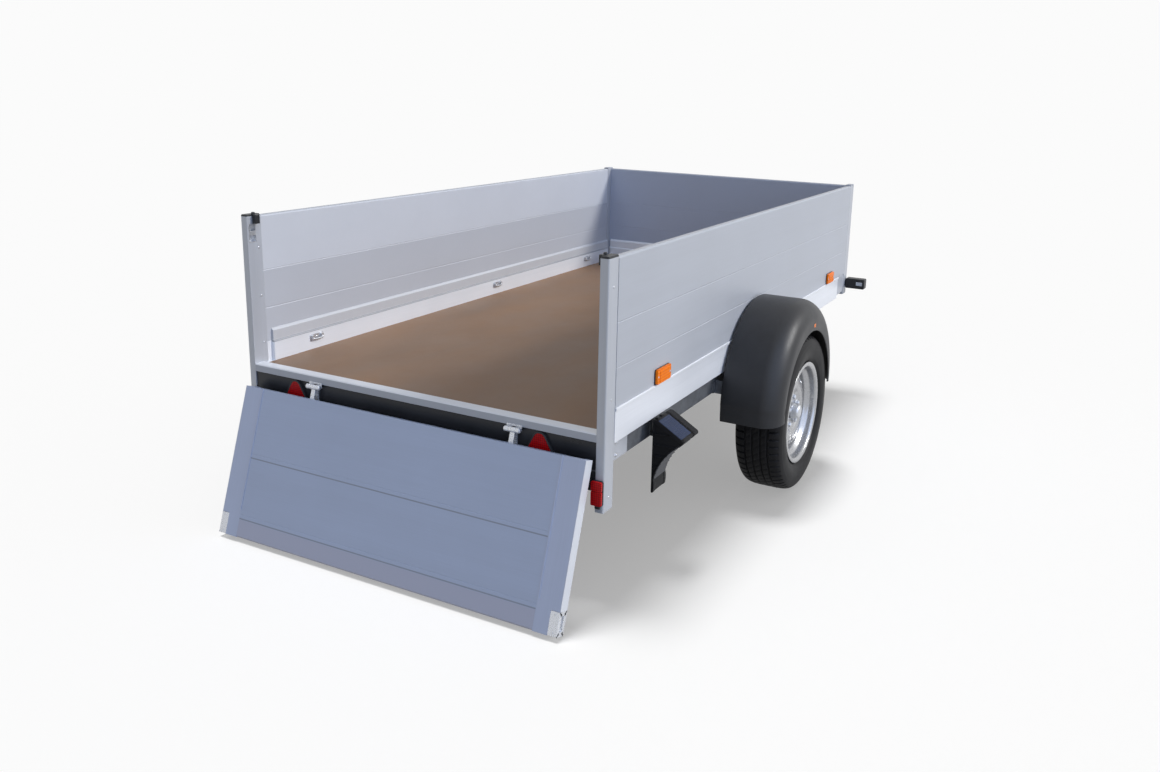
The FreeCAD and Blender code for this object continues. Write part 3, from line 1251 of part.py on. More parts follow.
keep("tailgate_panel", gatePanel())
keep("tailgate_ends", bothSides(gateEnd()))
keep("tailgate_latches", bothSides(gateLatch()))
keep("hinge_leaves", bothSides(hingeLeaf()))
keep("hinge_brackets", bothSides(hingeBracket()))
keep("latch_keepers", bothSides(latchKeeper()))
keep("gate_stops", bothSides(gateStop()))

keep("lamp_carriers", bothSides(lampCarrier()))
keep("tail_lamps", bothSides(tailLamp()))
keep("rear_reflectors", bothSides(rearReflector()))
keep("side_markers", Part.makeCompound([
    bothSides(sideMarker(x)) for x in (rearX + MARKER_REAR, frontX - MARKER_FRONT)]))
keep("front_lamps", bothSides(frontLamp()))
keep("front_lenses", bothSides(frontLens()))
eyePlaces = (rearX + EYE_REAR, rearX + EYE_MIDDLE * BODY_LENGTH, frontX - EYE_FRONT)
keep("lashing_eyes", Part.makeCompound([bothSides(lashingEye(x)) for x in eyePlaces]))
keep("chocks", bothSides(chock()))
keep("chock_holders", bothSides(chockHolder()))

keepPair("tyre", tyre())
keepPair("rim", rim())
keepPair("hub", hub())

keep("overrun_housing", overrunHousing())
keep("gaiter", gaiter())
keep("coupling_head", couplingHead())
keep("coupling_handle", couplingHandle())
keep("handbrake", handbrake())
keep("jockey_tube", jockeyTube())
keep("jockey_clamp", jockeyClamp())
keep("jockey_leg", jockeyLeg())
keep("jockey_fork", jockeyFork())
keep("jockey_wheel", jockeyWheel())

os.makedirs("parts", exist_ok=True)
whole = FreeCAD.BoundBox()
for name, shape in nodes.items():
    if not shape.isValid():
        print("not valid:", name)
    shape.exportStep("parts/" + name + ".step")
    whole.add(shape.BoundBox)
print(len(nodes), "nodes")
print("box", [round(v, 2) for v in (whole.XMin, whole.XMax, whole.YMin, whole.YMax, whole.ZMin,
                                    whole.ZMax)])
print("hinge", round(hingeX, 2), round(hingeZ, 2), "axle", round(axleX, 2),
      "jockey", round(jockeyX, 2), round(jockeyY, 2))
print("rear face", round(rearX, 2), "front face", round(frontX, 2), "nose", round(noseX, 2))
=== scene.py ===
import math

import bmesh
import bpy
import numpy as np
from mathutils import Matrix, Vector


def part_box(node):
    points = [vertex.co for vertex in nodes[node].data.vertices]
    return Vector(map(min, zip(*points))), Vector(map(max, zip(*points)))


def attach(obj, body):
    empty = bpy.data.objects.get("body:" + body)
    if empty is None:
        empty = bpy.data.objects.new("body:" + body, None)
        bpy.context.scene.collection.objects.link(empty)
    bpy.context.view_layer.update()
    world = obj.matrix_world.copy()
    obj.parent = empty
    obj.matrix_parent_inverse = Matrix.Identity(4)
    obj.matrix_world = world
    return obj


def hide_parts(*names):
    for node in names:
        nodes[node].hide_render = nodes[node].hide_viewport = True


# A box trailer with aluminium walls, seen from behind on its right, its tailgate hanging open.
# Metres. X runs forward to the coupling, Y to the left side, Z up, and the ground is at Z = 0.

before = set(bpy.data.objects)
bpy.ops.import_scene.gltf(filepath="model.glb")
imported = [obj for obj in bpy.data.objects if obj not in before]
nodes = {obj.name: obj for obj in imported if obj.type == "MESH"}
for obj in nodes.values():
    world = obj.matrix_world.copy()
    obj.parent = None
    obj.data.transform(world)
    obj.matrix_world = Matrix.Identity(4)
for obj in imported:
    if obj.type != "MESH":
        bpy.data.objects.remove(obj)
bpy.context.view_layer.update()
print("frame loaded:", len(nodes), "nodes")

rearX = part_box("rear_posts")[0].x        # the rear posts' rear face
frontX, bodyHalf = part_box("front_posts")[1].xy
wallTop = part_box("side_wall_left")[1].z
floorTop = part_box("floor_panel")[1].z
postInner, innerHalf = bodyHalf - 0.027, bodyHalf - 0.025
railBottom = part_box("side_rails")[0].z


# Camera, lights and stage

view = {
    "behind": 2.283,                     # from the rear posts' face
    "side": -1.877,
    "aboveWall": 0.454,
    "yaw": 26.88,
    "pitch": -13.31,
    "roll": 1.62,
    "lens": 30.62,
    "shift": (-0.0356, -0.0595),
}


def makeCamera():
    yaw, pitch, roll = (math.radians(view[k]) for k in ("yaw", "pitch", "roll"))
    forward = Vector((math.cos(pitch) * math.cos(yaw), math.cos(pitch) * math.sin(yaw), math.sin(pitch)))
    level = forward.cross(Vector((0, 0, 1))).normalized()
    upright = level.cross(forward)
    right = level * math.cos(roll) + upright * math.sin(roll)
    up = upright * math.cos(roll) - level * math.sin(roll)
    data = bpy.data.cameras.new("camera")
    data.lens, data.sensor_width, data.clip_end = view["lens"], 36, 200
    data.shift_x, data.shift_y = view["shift"]
    camera = bpy.data.objects.new("camera", data)
    place = Vector((rearX - view["behind"], view["side"], wallTop + view["aboveWall"]))
    turn = Matrix((right, up, -forward)).transposed()
    camera.matrix_world = Matrix.Translation(place) @ turn.to_4x4()
    bpy.context.scene.collection.objects.link(camera)
    bpy.context.scene.camera = camera


makeCamera()


# Shader nodes. Inputs may be numbers or another node's output.

def put(tree, kind, inputs=None, out=0, **props):
    # One node. Gives back one of its outputs, or all of them where out is None.
    made = tree.nodes.new("ShaderNode" + kind)
    for key, value in props.items():
        setattr(made, key, value)
    for key, value in (inputs or {}).items():
        if isinstance(value, bpy.types.NodeSocket):
            tree.links.new(value, made.inputs[key])
        else:
            made.inputs[key].default_value = value
    return made.outputs if out is None else made.outputs[out]


def calc(tree, operation, *values, kind="Math", **props):
    return put(tree, kind, dict(enumerate(values)), operation=operation, **props)


def remap(tree, value, seen=(0, 1), given=(0, 1)):
    return put(tree, "MapRange", {"Value": value, "From Min": seen[0], "From Max": seen[1],
                                  "To Min": given[0], "To Max": given[1]})


def noise(tree, place, scale, detail=2.0, roughness=0.5):
    return put(tree, "TexNoise", {"Vector": place, "Scale": scale, "Detail": detail, "Roughness": roughness})


def mix(tree, factor, first, second):
    return put(tree, "Mix", {0: factor, 2: first, 3: second}, data_type="FLOAT")


def blend(tree, factor, first, colour):
    return put(tree, "Mix", {0: factor, 6: first, 7: (*colour, 1)}, out=2, data_type="RGBA")


def toneRamp(tree, value, stops):
    # Colours at given places between 0 and 1.
    made = tree.nodes.new("ShaderNodeValToRGB")
    entries = made.color_ramp.elements
    while len(entries) < len(stops):
        entries.new(0.5)
    for entry, (place, colour) in zip(entries, stops):
        entry.position, entry.color = place, (*colour, 1)
    tree.links.new(value, made.inputs[0])
    return made.outputs[0]


def bump(tree, height, strength, distance, **normal):
    return put(tree, "Bump", {"Height": height, "Strength": strength, "Distance": distance, **normal})


def startMaterial(name, roughness, metallic=0.0, **sockets):
    # Socket names have _ for their spaces. Gives material, tree, shader and Object coordinates.
    material = bpy.data.materials.new(name)
    material.use_nodes = True
    tree = material.node_tree
    shader = tree.nodes["Principled BSDF"]
    for key, value in {"Roughness": roughness, "Metallic": metallic, **sockets}.items():
        shader.inputs[key.replace("_", " ")].default_value = value
    return material, tree, shader, put(tree, "TexCoord", out=None)["Object"]


def feed(tree, shader, **sockets):
    for key, value in sockets.items():
        tree.links.new(value, shader.inputs[key.replace("_", " ")])


lighting = {
    "world": (0.26, 0.965),              # what lights the trailer, and what the camera and reflections see
    "floor": (0.20, 0.67),               # the same for the floor's tone
    "floorGlow": 0.34,                   # part of the floor's white that shadows don't darken
    # direction towards the light, colour, strength where 1 lights a face fully, softness in degrees
    "key": ((0.34, -0.78, 0.53), (1.0, 0.99, 0.975), 0.72, 14),
    "sky": ((-0.45, -0.75, 0.50), (0.62, 0.86, 1.40), 0.30, 75),
    "overFloor": ((0.0, 0.15, 1.0), (1.0, 1.0, 1.0), 0.68, 18),
    "reach": 60,                         # of the floor to each side
}
trailerOnly = bpy.data.collections.new("trailerOnly")
stageOnly = bpy.data.collections.new("stageOnly")


def makeLamp(name, receivers):
    towards, colour, strength, softness = lighting[name]
    data = bpy.data.lights.new(name, "SUN")
    data.color, data.energy, data.angle = colour, strength * math.pi, math.radians(softness)
    lamp = bpy.data.objects.new(name, data)
    lamp.rotation_euler = Vector(towards).to_track_quat("Z", "Y").to_euler()
    lamp.location = Vector(towards) * 6
    lamp.light_linking.receiver_collection = receivers
    bpy.context.scene.collection.objects.link(lamp)


def seenOrNot(tree):
    # 1 for rays that come from the camera, a reflection or glass, and 0 for the light they gather.
    paths = put(tree, "LightPath", out=None)
    seen = calc(tree, "MAXIMUM", paths["Is Camera Ray"], paths["Is Glossy Ray"])
    return calc(tree, "MAXIMUM", seen, paths["Is Transmission Ray"])


def makeStage():
    world = bpy.data.worlds.new("studio")
    bpy.context.scene.world = world
    world.use_nodes = True
    tree = world.node_tree
    sky = tree.nodes["Background"].inputs
    tree.links.new(remap(tree, seenOrNot(tree), given=lighting["world"]), sky["Strength"])
    sky["Color"].default_value = (1, 1, 1, 1)

    mesh = bpy.data.meshes.new("floor")
    corners = [(x * lighting["reach"], y * lighting["reach"], 0) for x, y in ((-1, -1), (1, -1), (1, 1), (-1, 1))]
    mesh.from_pydata(corners, [], [(0, 1, 2, 3)])
    floor = bpy.data.objects.new("floor", mesh)
    bpy.context.scene.collection.objects.link(floor)
    material, tree, shader, _ = startMaterial("paleFloor", 0.9, Specular_IOR_Level=0.0, Emission_Color=(1, 1, 1, 1))
    below = put(tree, "NewGeometry", out=None)["Backfacing"]
    feed(tree, shader, Base_Color=remap(tree, seenOrNot(tree), given=lighting["floor"]),
         Emission_Strength=remap(tree, seenOrNot(tree), given=(0, lighting["floorGlow"])),
         Alpha=calc(tree, "SUBTRACT", 1.0, below))
    mesh.materials.append(material)
    stageOnly.objects.link(floor)
    makeLamp("key", trailerOnly)
    makeLamp("sky", trailerOnly)
    makeLamp("overFloor", stageOnly)


makeStage()
print("camera, lights and floor ready")


# Effects that several materials share. Each gives its node group's outputs.

def extrusionLines(tree, start):
    # Long fine lines along a drawn profile, and slow cloudy changes of tone.
    long = calc(tree, "MULTIPLY", start["Vector"], start["Stretch"], kind="VectorMath")
    fine = noise(tree, long, start["Fine"], 3.0, 0.6)
    both = mix(tree, 0.45, fine, noise(tree, long, start["Broad"]))
    return {"Tone": mix(tree, 0.35, both, noise(tree, start["Vector"], 3.1, 3.0)), "Height": fine}


def edgeWear(tree, start):
    # Where a rounded version of the surface turns away from the real one, there is an edge.
    rounded = put(tree, "Bevel", {"Radius": start["Radius"]}, samples=4)
    real = put(tree, "NewGeometry", out=None)["True Normal"]
    facing = calc(tree, "DOT_PRODUCT", rounded, real, kind="VectorMath", out=1)
    broken = noise(tree, start["Vector"], 38.0, 5.0, 0.7)
    worn = calc(tree, "MULTIPLY", remap(tree, facing, (0.98, 0.80)), remap(tree, broken, (0.40, 0.62)))
    return {"Mask": calc(tree, "MULTIPLY", worn, start["Amount"], use_clamp=True), "Normal": rounded}


def dust(tree, start):
    # Thin dust in clouds, thicker on faces that look up.
    up = put(tree, "SeparateXYZ", {0: put(tree, "NewGeometry", out=None)["Normal"]}, out=2)
    cloud = noise(tree, start["Vector"], 5.0, 6.0, 0.65)
    mask = calc(tree, "MULTIPLY", remap(tree, up, (-0.2, 1), (0.25, 1)), remap(tree, cloud, (0.38, 0.75)))
    return {"Mask": calc(tree, "MULTIPLY", mask, start["Amount"], use_clamp=True)}


def zincSpangle(tree, start):
    # Zinc crystals: cells of slightly different grey, with a soft cloud over them.
    cells = put(tree, "TexVoronoi", {"Vector": start["Vector"], "Scale": start["Scale"]}, out=1)
    grey = put(tree, "SeparateColor", {0: cells})
    return {"Tone": mix(tree, 0.5, grey, noise(tree, start["Vector"], 9.0, 5.0, 0.6)), "Height": grey}


def mouldGrain(tree, start):
    # Fine pitted grain of moulded plastic and rubber.
    pits = put(tree, "TexVoronoi", {"Vector": start["Vector"], "Scale": start["Scale"]})
    return {"Tone": noise(tree, start["Vector"], 6.0, 6.0, 0.6), "Height": pits}


def insideBox(tree, start):
    # Inside the box from Low to High: the least distance to its sides, from nought up to a millimetre.
    above = calc(tree, "SUBTRACT", start["Vector"], start["Low"], kind="VectorMath")
    below = calc(tree, "SUBTRACT", start["High"], start["Vector"], kind="VectorMath")
    x, y, z = put(tree, "SeparateXYZ", {0: calc(tree, "MINIMUM", above, below, kind="VectorMath")}, out=None)
    return {"Mask": remap(tree, calc(tree, "MINIMUM", calc(tree, "MINIMUM", x, y), z), (0, 0.001), (0, 0.85))}


def makeGroup(build, inputs):
    # Node group with named inputs (name: default) and the outputs that its function builds.
    group = bpy.data.node_groups.new(build.__name__, "ShaderNodeTree")
    for key, value in {"Vector": (0.0, 0.0, 0.0), **inputs}.items():
        kind = "NodeSocketVector" if isinstance(value, tuple) else "NodeSocketFloat"
        group.interface.new_socket(key, in_out="INPUT", socket_type=kind).default_value = value
    made = build(group, group.nodes.new("NodeGroupInput").outputs)
    for key in made:
        kind = "NodeSocketVector" if key == "Normal" else "NodeSocketFloat"
        group.interface.new_socket(key, in_out="OUTPUT", socket_type=kind)
    end = group.nodes.new("NodeGroupOutput")
    for key, value in made.items():
        group.links.new(value, end.inputs[key])
    return group


effects = {build.__name__: makeGroup(build, inputs) for build, inputs in (
    (extrusionLines, {"Stretch": (0.02, 1.0, 1.0), "Fine": 420.0, "Broad": 26.0}),
    (edgeWear, {"Radius": 0.003, "Amount": 1.0}),
    (dust, {"Amount": 1.0}),
    (zincSpangle, {"Scale": 90.0}),
    (mouldGrain, {"Scale": 700.0}),
    (insideBox, {"Low": (0.0, 0.0, 0.0), "High": (0.0, 0.0, 0.0)}),
)}


def effect(tree, name, **inputs):
    return put(tree, "Group", inputs, out=None, node_tree=effects[name])


print("shared effects ready")


# Materials

alongX, alongY, alongZ, allRound = (0.015, 1.0, 1.0), (1.0, 0.015, 1.0), (1.0, 1.0, 0.015), (1.0, 1.0, 1.0)
gateLean = math.radians(18)
alloy = {
    # colour, spread of tone, metallic, roughness, bump of the drawn lines
    "board": ((0.455, 0.47, 0.50), 0.05, 0.12, 0.44, 0.08),
    # gate and gateEnd: their blue is a painted sky reflection
    "gate": ((0.475, 0.54, 0.685), 0.04, 0.12, 0.42, 0.06),
    "gateEnd": ((0.51, 0.565, 0.71), 0.05, 0.15, 0.40, 0.08),
    "bright": ((0.79, 0.80, 0.82), 0.05, 0.18, 0.36, 0.10),
    "post": ((0.48, 0.495, 0.525), 0.06, 0.25, 0.38, 0.10),
    "rim": ((0.41, 0.412, 0.42), 0.02, 0.78, 0.26, 0.010),
}
profiles = {
    # alloy, way of its lines, turn of the lines about Y
    "boardSide": ("board", alongX, 0.0),
    "boardFront": ("board", alongY, 0.0),
    "gateBoard": ("gate", alongY, 0.0),
    "gateEnd": ("gateEnd", alongZ, -gateLean),
    "brightSide": ("bright", alongX, 0.0),
    "skirtAlloy": ("bright", alongX, 0.0),
    "brightRear": ("bright", alongY, 0.0),
    "postAlloy": ("post", alongZ, 0.0),
    "rimSilver": ("rim", allRound, 0.0),
}
steel = {
    # colour, spread, metallic, roughness, crystal scale
    # galvanised: its colour is painted dark, painted shade for the shade under the body, on every part of this
    # finish
    "galvanised": ((0.112, 0.118, 0.128), 0.16, 0.35, 0.52, 90.0),
    "zinc": ((0.58, 0.59, 0.61), 0.035, 0.70, 0.30, 420.0),
    "zincBright": ((0.74, 0.75, 0.77), 0.025, 0.55, 0.28, 420.0),
    "drumIron": ((0.10, 0.10, 0.105), 0.25, 0.40, 0.62, 380.0),
}
moulded = {
    # colour, lighter rubbed colour, roughness, gloss, grain scale, grain depth
    "blackPlastic": ((0.0185, 0.019, 0.021), (0.080, 0.082, 0.090), 0.44, 0.36, 700.0, 0.14),
    "greyRubber": ((0.085, 0.086, 0.09), (0.14, 0.14, 0.145), 0.60, 0.30, 480.0, 0.20),
    "capGrey": ((0.42, 0.43, 0.46), (0.52, 0.53, 0.56), 0.45, 0.40, 700.0, 0.12),
    "chockPlastic": ((0.011, 0.011, 0.012), (0.026, 0.027, 0.030), 0.55, 0.16, 620.0, 0.14),
    # chockTop: dark blue, a painted sky reflection on the grip pad
    "chockTop": ((0.030, 0.042, 0.082), (0.050, 0.064, 0.110), 0.52, 0.18, 620.0, 0.14),
    "blackPaint": ((0.018, 0.019, 0.022), (0.09, 0.09, 0.095), 0.32, 0.30, 300.0, 0.04),
    "rubber": ((0.012, 0.012, 0.013), (0.040, 0.040, 0.041), 0.62, 0.22, 480.0, 0.20),
    "tyreRubber": ((0.0065, 0.0065, 0.0075), (0.022, 0.022, 0.023), 0.50, 0.16, 420.0, 0.20),
}
lenses = {
    # colour, darker colour of the ribs, ribs a metre
    "redLens": ((0.60, 0.006, 0.009), (0.26, 0.003, 0.004), 150.0),
    "amberLens": ((1.0, 0.235, 0.0), (0.80, 0.13, 0.0), 110.0),
    "whiteLens": ((0.72, 0.73, 0.74), (0.50, 0.51, 0.53), 130.0),
}
plywood = {
    "colour": (0.252, 0.147, 0.082),
    "dark": (0.214, 0.130, 0.076),
    "light": (0.290, 0.166, 0.089),
    "speck": (0.17, 0.115, 0.08),
    "dust": (0.30, 0.24, 0.19),
    "mesh": 260.0,                       # pressed wire pattern, in lines a metre
}
coats = {
    # effect, radius and amount of wear, dust, ends of the ramp, tone to change of roughness, bump in metres
    "alloy": ("extrusionLines", 0.0015, 0.6, 0.22, (0.35, 0.65), (0.3, 0.7), (-0.05, 0.08), 0.0004),
    "steel": ("zincSpangle", 0.0012, 0.5, 0.35, (0.25, 0.75), (0.0, 1.0), (-0.08, 0.12), 0.0003),
    "moulded": ("mouldGrain", 0.002, 0.45, 0.30, (0.3, 0.7), (0.3, 0.7), (-0.06, 0.10), 0.0003),
}

sillTop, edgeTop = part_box("sills")[1].z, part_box("rear_edge_profile")[1].z
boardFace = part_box("side_wall_left")[0].y + 0.003
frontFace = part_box("front_wall")[0].x + 0.003
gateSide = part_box("tailgate_ends")[1].y - 0.002
far, upperBoard = 3, 0.854               # beyond the trailer on every side; foot of the side walls' lighter upper tone, painted light
# the second tone is painted light, for the side faces of the gate's ends
seamTone, paintedLightEndTone = (0.26, 0.28, 0.335), (0.74, 0.745, 0.75)
seams = ((0.0722, 0.0770), (0.2625, 0.2673))    # feet and tops of the seams of the gate's boards
placeTonesAndPaintedLight = {
    # tones of the profiles by place, most of them painted light and shade: low corner, high corner, colour
    # boardSide: painted light, the inner faces lighter than the outer boards, and lighter still above upperBoard
    "boardSide": [((-far, -boardFace, 0), (far, boardFace, upperBoard), (0.505, 0.515, 0.545)),
                  ((-far, -boardFace, upperBoard), (far, boardFace, far), (0.62, 0.635, 0.67))],
    # boardFront: the front wall's inner face painted darker and bluer, painted shade and painted sky reflection
    "boardFront": [((-far, -far, 0), (frontFace, far, far), (0.39, 0.44, 0.555))],
    # skirtAlloy: darker above the sill's top; the thin dark line at the step is painted shade
    "skirtAlloy": [((-far, -far, sillTop + 0.002), (far, far, far), (0.53, 0.535, 0.55)),
                   ((-far, -far, sillTop - 0.006), (far, far, sillTop + 0.002), (0.26, 0.265, 0.28))],
    # brightRear: the rear edge profile's face below its top edge is painted shade, its top stays bright
    "brightRear": [((-far, -far, 0), (-1.7, far, edgeTop - 0.003), (0.34, 0.36, 0.40))],
    # gateBoard: dark seams between the boards, and the lowest board painted greyer, a painted reflection
    "gateBoard": [((-far, -far, foot), (far, far, top), seamTone) for foot, top in seams]
                 + [((-far, -far, 0), (far, far, seams[0][0]), (0.50, 0.505, 0.60))],
    # gateEnd: the ends' side faces painted lighter, painted light
    "gateEnd": [((-far, gateSide, 0), (far, far, far), paintedLightEndTone), ((-far, -far, 0), (far, -gateSide, far), paintedLightEndTone)],
}
materials = {}


def tinted(colour, factor):
    return tuple(min(1, c * factor) for c in colour)


def coatMaterial(name, coat, colour, spread, roughness, depth, rubbed, dusty, metallic=0.0, gloss=0.5, turn=0.0,
                 **pattern):
    # Two near tones by the effect's pattern, then tones by place (most of them painted light and shade), rubbed
    # edges and dust.
    texture, radius, worn, soiled, ends, seen, change, height = coats[coat]
    materials[name], tree, shader, plain = startMaterial(name, roughness, metallic, Specular_IOR_Level=gloss)
    place = put(tree, "Mapping", {"Vector": plain, "Rotation": (0.0, turn, 0.0)}) if turn else plain
    lines = effect(tree, texture, Vector=place, **pattern)
    wear = effect(tree, "edgeWear", Vector=place, Radius=radius, Amount=worn)
    tones = tinted(colour, 1 - spread), tinted(colour, 1 + spread)
    base = toneRamp(tree, lines["Tone"], list(zip(ends, tones)))
    for low, high, tone in placeTonesAndPaintedLight.get(name, []):
        base = blend(tree, effect(tree, "insideBox", Vector=plain, Low=low, High=high)["Mask"], base, tone)
    base = blend(tree, wear["Mask"], base, rubbed)
    base = blend(tree, effect(tree, "dust", Vector=place, Amount=soiled)["Mask"], base, dusty)
    rough = remap(tree, lines["Tone"], seen, (roughness + change[0], roughness + change[1]))
    feed(tree, shader, Base_Color=base, Roughness=rough,
         Normal=bump(tree, lines["Height"], depth, height, Normal=wear["Normal"]))


def plywoodMaterial():
    # Brown film over birch ply: pressed wire mesh, long clouds of tone from back to front.
    material, tree, shader, place = startMaterial("filmPlywood", 0.55, Specular_IOR_Level=0.25)
    cloud = noise(tree, calc(tree, "MULTIPLY", place, (0.35, 1.0, 1.0), kind="VectorMath"), 3.4, 4.0, 0.55)
    speck = remap(tree, noise(tree, place, 190.0, 4.0, 0.7), (0.55, 0.8), (0, 0.25))
    waves = [calc(tree, "SINE", calc(tree, "MULTIPLY", along, plywood["mesh"] * 2 * math.pi))
             for along in list(put(tree, "SeparateXYZ", {0: place}, out=None))[:2]]
    base = toneRamp(tree, cloud, [(0.3, plywood["dark"]), (0.5, plywood["colour"]), (0.7, plywood["light"])])
    base = blend(tree, speck, base, plywood["speck"])
    base = blend(tree, effect(tree, "dust", Vector=place, Amount=0.25)["Mask"], base, plywood["dust"])
    feed(tree, shader, Base_Color=base, Roughness=remap(tree, cloud, given=(0.42, 0.62)),
         Normal=bump(tree, calc(tree, "MULTIPLY", *waves), 0.12, 0.0004))
    return material


def lensMaterial(name):
    # Moulded lens: a grid of small prisms under a glossy skin.
    colour, dark, count = lenses[name]
    material, tree, shader, place = startMaterial(name, 0.30, Specular_IOR_Level=0.14)
    x, y, z = put(tree, "SeparateXYZ", {0: place}, out=None)
    waves = [calc(tree, "PINGPONG", calc(tree, "MULTIPLY", along, count), 0.5)
             for along in (calc(tree, "ADD", x, y), z)]
    prisms = calc(tree, "ADD", *waves)
    feed(tree, shader, Base_Color=toneRamp(tree, prisms, [(0.15, dark), (0.7, colour)]),
         Normal=bump(tree, prisms, 0.35, 0.0012))
    return material


for name, (kind, stretch, turn) in profiles.items():
    colour, spread, metallic, roughness, depth = alloy[kind]
    coatMaterial(name, "alloy", colour, spread, roughness, depth, tinted(colour, 1.25), tinted(colour, 0.82),
                 metallic, turn=turn, Stretch=stretch)
for name, (colour, spread, metallic, roughness, scale) in steel.items():
    coatMaterial(name, "steel", colour, spread, roughness, 0.08, tinted(colour, 1.5), tinted(colour, 0.75),
                 metallic, Scale=scale)
for name, (colour, rubbed, roughness, gloss, scale, depth) in moulded.items():
    coatMaterial(name, "moulded", colour, 0.25, roughness, depth, rubbed, tinted(rubbed, 0.6), gloss=gloss,
                 Scale=scale)
for name in lenses:
    materials[name] = lensMaterial(name)
materials["plywood"] = plywoodMaterial()

nodeMaterial = {
    "boardSide": "side_wall_left side_wall_right sill_corners",
    "boardFront": "front_wall",
    "gateBoard": "tailgate_panel",
    "gateEnd": "tailgate_ends",
    "brightSide": "sills",
    "skirtAlloy": "skirts",
    "brightRear": "front_sill rear_edge_profile",
    "postAlloy": "rear_posts front_posts",
    "rimSilver": "rim_left rim_right",
    "galvanised": "side_rails cross_members drawbar_arms axle_beam axle_saddles mudguard_straps jockey_clamp "
                  "overrun_housing chock_holders",
    "zinc": "brake_rod tailgate_latches hinge_leaves hinge_brackets latch_keepers lashing_eyes handbrake "
            "jockey_tube jockey_leg jockey_fork",
    "drumIron": "hub_left hub_right",
    "blackPlastic": "post_caps mudguard_left mudguard_right lamp_carriers front_lamps coupling_handle",
    "chockPlastic": "chocks",
    "blackPaint": "rear_cross_member swing_arms coupling_head",
    "rubber": "gate_stops gaiter jockey_wheel",
    "tyreRubber": "tyre_left tyre_right",
    "plywood": "floor_panel",
    "redLens": "tail_lamps rear_reflectors",
    "amberLens": "side_markers",
    "whiteLens": "front_lenses",
}
for finish, names in nodeMaterial.items():
    for name in names.split():
        nodes[name].data.materials.clear()
        nodes[name].data.materials.append(materials[finish])
for node in nodes.values():
    trailerOnly.objects.link(node)
print("materials ready")


# Shapes. A shape is a pair: points in metres, and faces as lists of point numbers.

# for each axis two ways across it, and the way along it
crossing = {"x": np.eye(3)[[1, 2, 0]], "y": np.eye(3)[[0, 2, 1]], "z": np.eye(3)}
origin = (0, 0, 0)


def gridFaces(rows, columns, closeRows=False, closeColumns=False):
    # Quads between neighbours of a grid whose point number is row * columns + column.
    row, column = np.meshgrid(np.arange(rows if closeRows else rows - 1),
                              np.arange(columns if closeColumns else columns - 1), indexing="ij")
    row, column = row.ravel(), column.ravel()
    nextRow, nextColumn = (row + 1) % rows, (column + 1) % columns
    return np.stack([row * columns + column, nextRow * columns + column,
                     nextRow * columns + nextColumn, row * columns + nextColumn], axis=1).tolist()


def lofted(points):
    # Rows of points, each a closed line, joined row to row, with flat ends.
    rows, count = points.shape[:2]
    ends = [list(range(count)), list(range(rows * count - 1, (rows - 1) * count - 1, -1))]
    return points.reshape(-1, 3), gridFaces(rows, count, False, True) + ends


def soft(points, radius, steps=4, closed=True):
    # Each corner gives way to a curve (1-t)^2 a + 2t(1-t) corner + t^2 b between two places on its sides.
    points = np.asarray(points, float)
    radius = np.array(np.broadcast_to(np.asarray(radius, float), len(points)))
    if not closed:
        radius[0] = radius[-1] = 0
    ends = []
    for side in (np.roll(points, 1, 0) - points, np.roll(points, -1, 0) - points):
        length = np.linalg.norm(side, axis=1, keepdims=True)
        ends.append(points + side / length * np.minimum(radius[:, None], length * 0.49))
    t = np.linspace(0, 1, steps + 1)[None, :, None]
    curve = (1 - t) ** 2 * ends[0][:, None] + 2 * t * (1 - t) * points[:, None] + t ** 2 * ends[1][:, None]
    return curve.reshape(-1, points.shape[1])


def spun(profile, centre, about, steps, closed=True):
    # Point = centre + radius * (cos a, sin a) across the axis + place along it, for every (radius, along).
    first, second, along = crossing[about]
    profile = np.asarray(profile, float)
    turn = np.linspace(0, 2 * math.pi, steps, endpoint=False)[:, None, None]
    points = (np.asarray(centre, float) + profile[None, :, :1] * (np.cos(turn) * first + np.sin(turn) * second)
              + profile[None, :, 1:2] * along)
    return points.reshape(-1, 3), gridFaces(steps, profile.shape[0], True, closed)


def lathed(profile, centre, about, sides, rounding=0.0, steps=3, closed=False):
    # A spun profile with its corners rounded. An open one starts and ends on the axis.
    return spun(soft(profile, rounding, steps, closed) if rounding else profile, centre, about, sides, closed)


def rod(radius, low, high, centre, about, sides, rounding=0.0, steps=3, bore=0.0):
    # Round bar from low to high along the axis, or a tube where it has a bore.
    profile = [(bore, low), (radius, low), (radius, high), (bore, high)]
    return lathed(profile, centre, about, sides, rounding, steps, bore > 0)


def laid(outline, axis, place):
    # An outline of two coordinates, put across the axis at a place along it.
    return np.asarray(outline, float) @ crossing[axis][:2] + place * crossing[axis][2]


def drawn(outline, axis, low, high):
    # Closed outline of two coordinates, drawn straight along the axis from low to high, with flat ends.
    return lofted(np.stack([laid(outline, axis, low), laid(outline, axis, high)]))


def inset(outline, amount):
    # Every side moves in by the amount: a corner goes (n1 + n2) / (1 + n1.n2) * amount, n the inward normals.
    outline = np.asarray(outline, float)
    after = np.roll(outline, -1, 0) - outline
    after /= np.linalg.norm(after, axis=1, keepdims=True)
    before, following = np.roll(after, 1, 0), np.roll(outline, -1, 0)
    side = np.sign(np.sum(outline[:, 0] * following[:, 1] - following[:, 0] * outline[:, 1]))
    n1, n2 = (side * np.stack([-way[:, 1], way[:, 0]], axis=1) for way in (before, after))
    return outline + amount * (n1 + n2) / (1 + np.sum(n1 * n2, axis=1, keepdims=True))


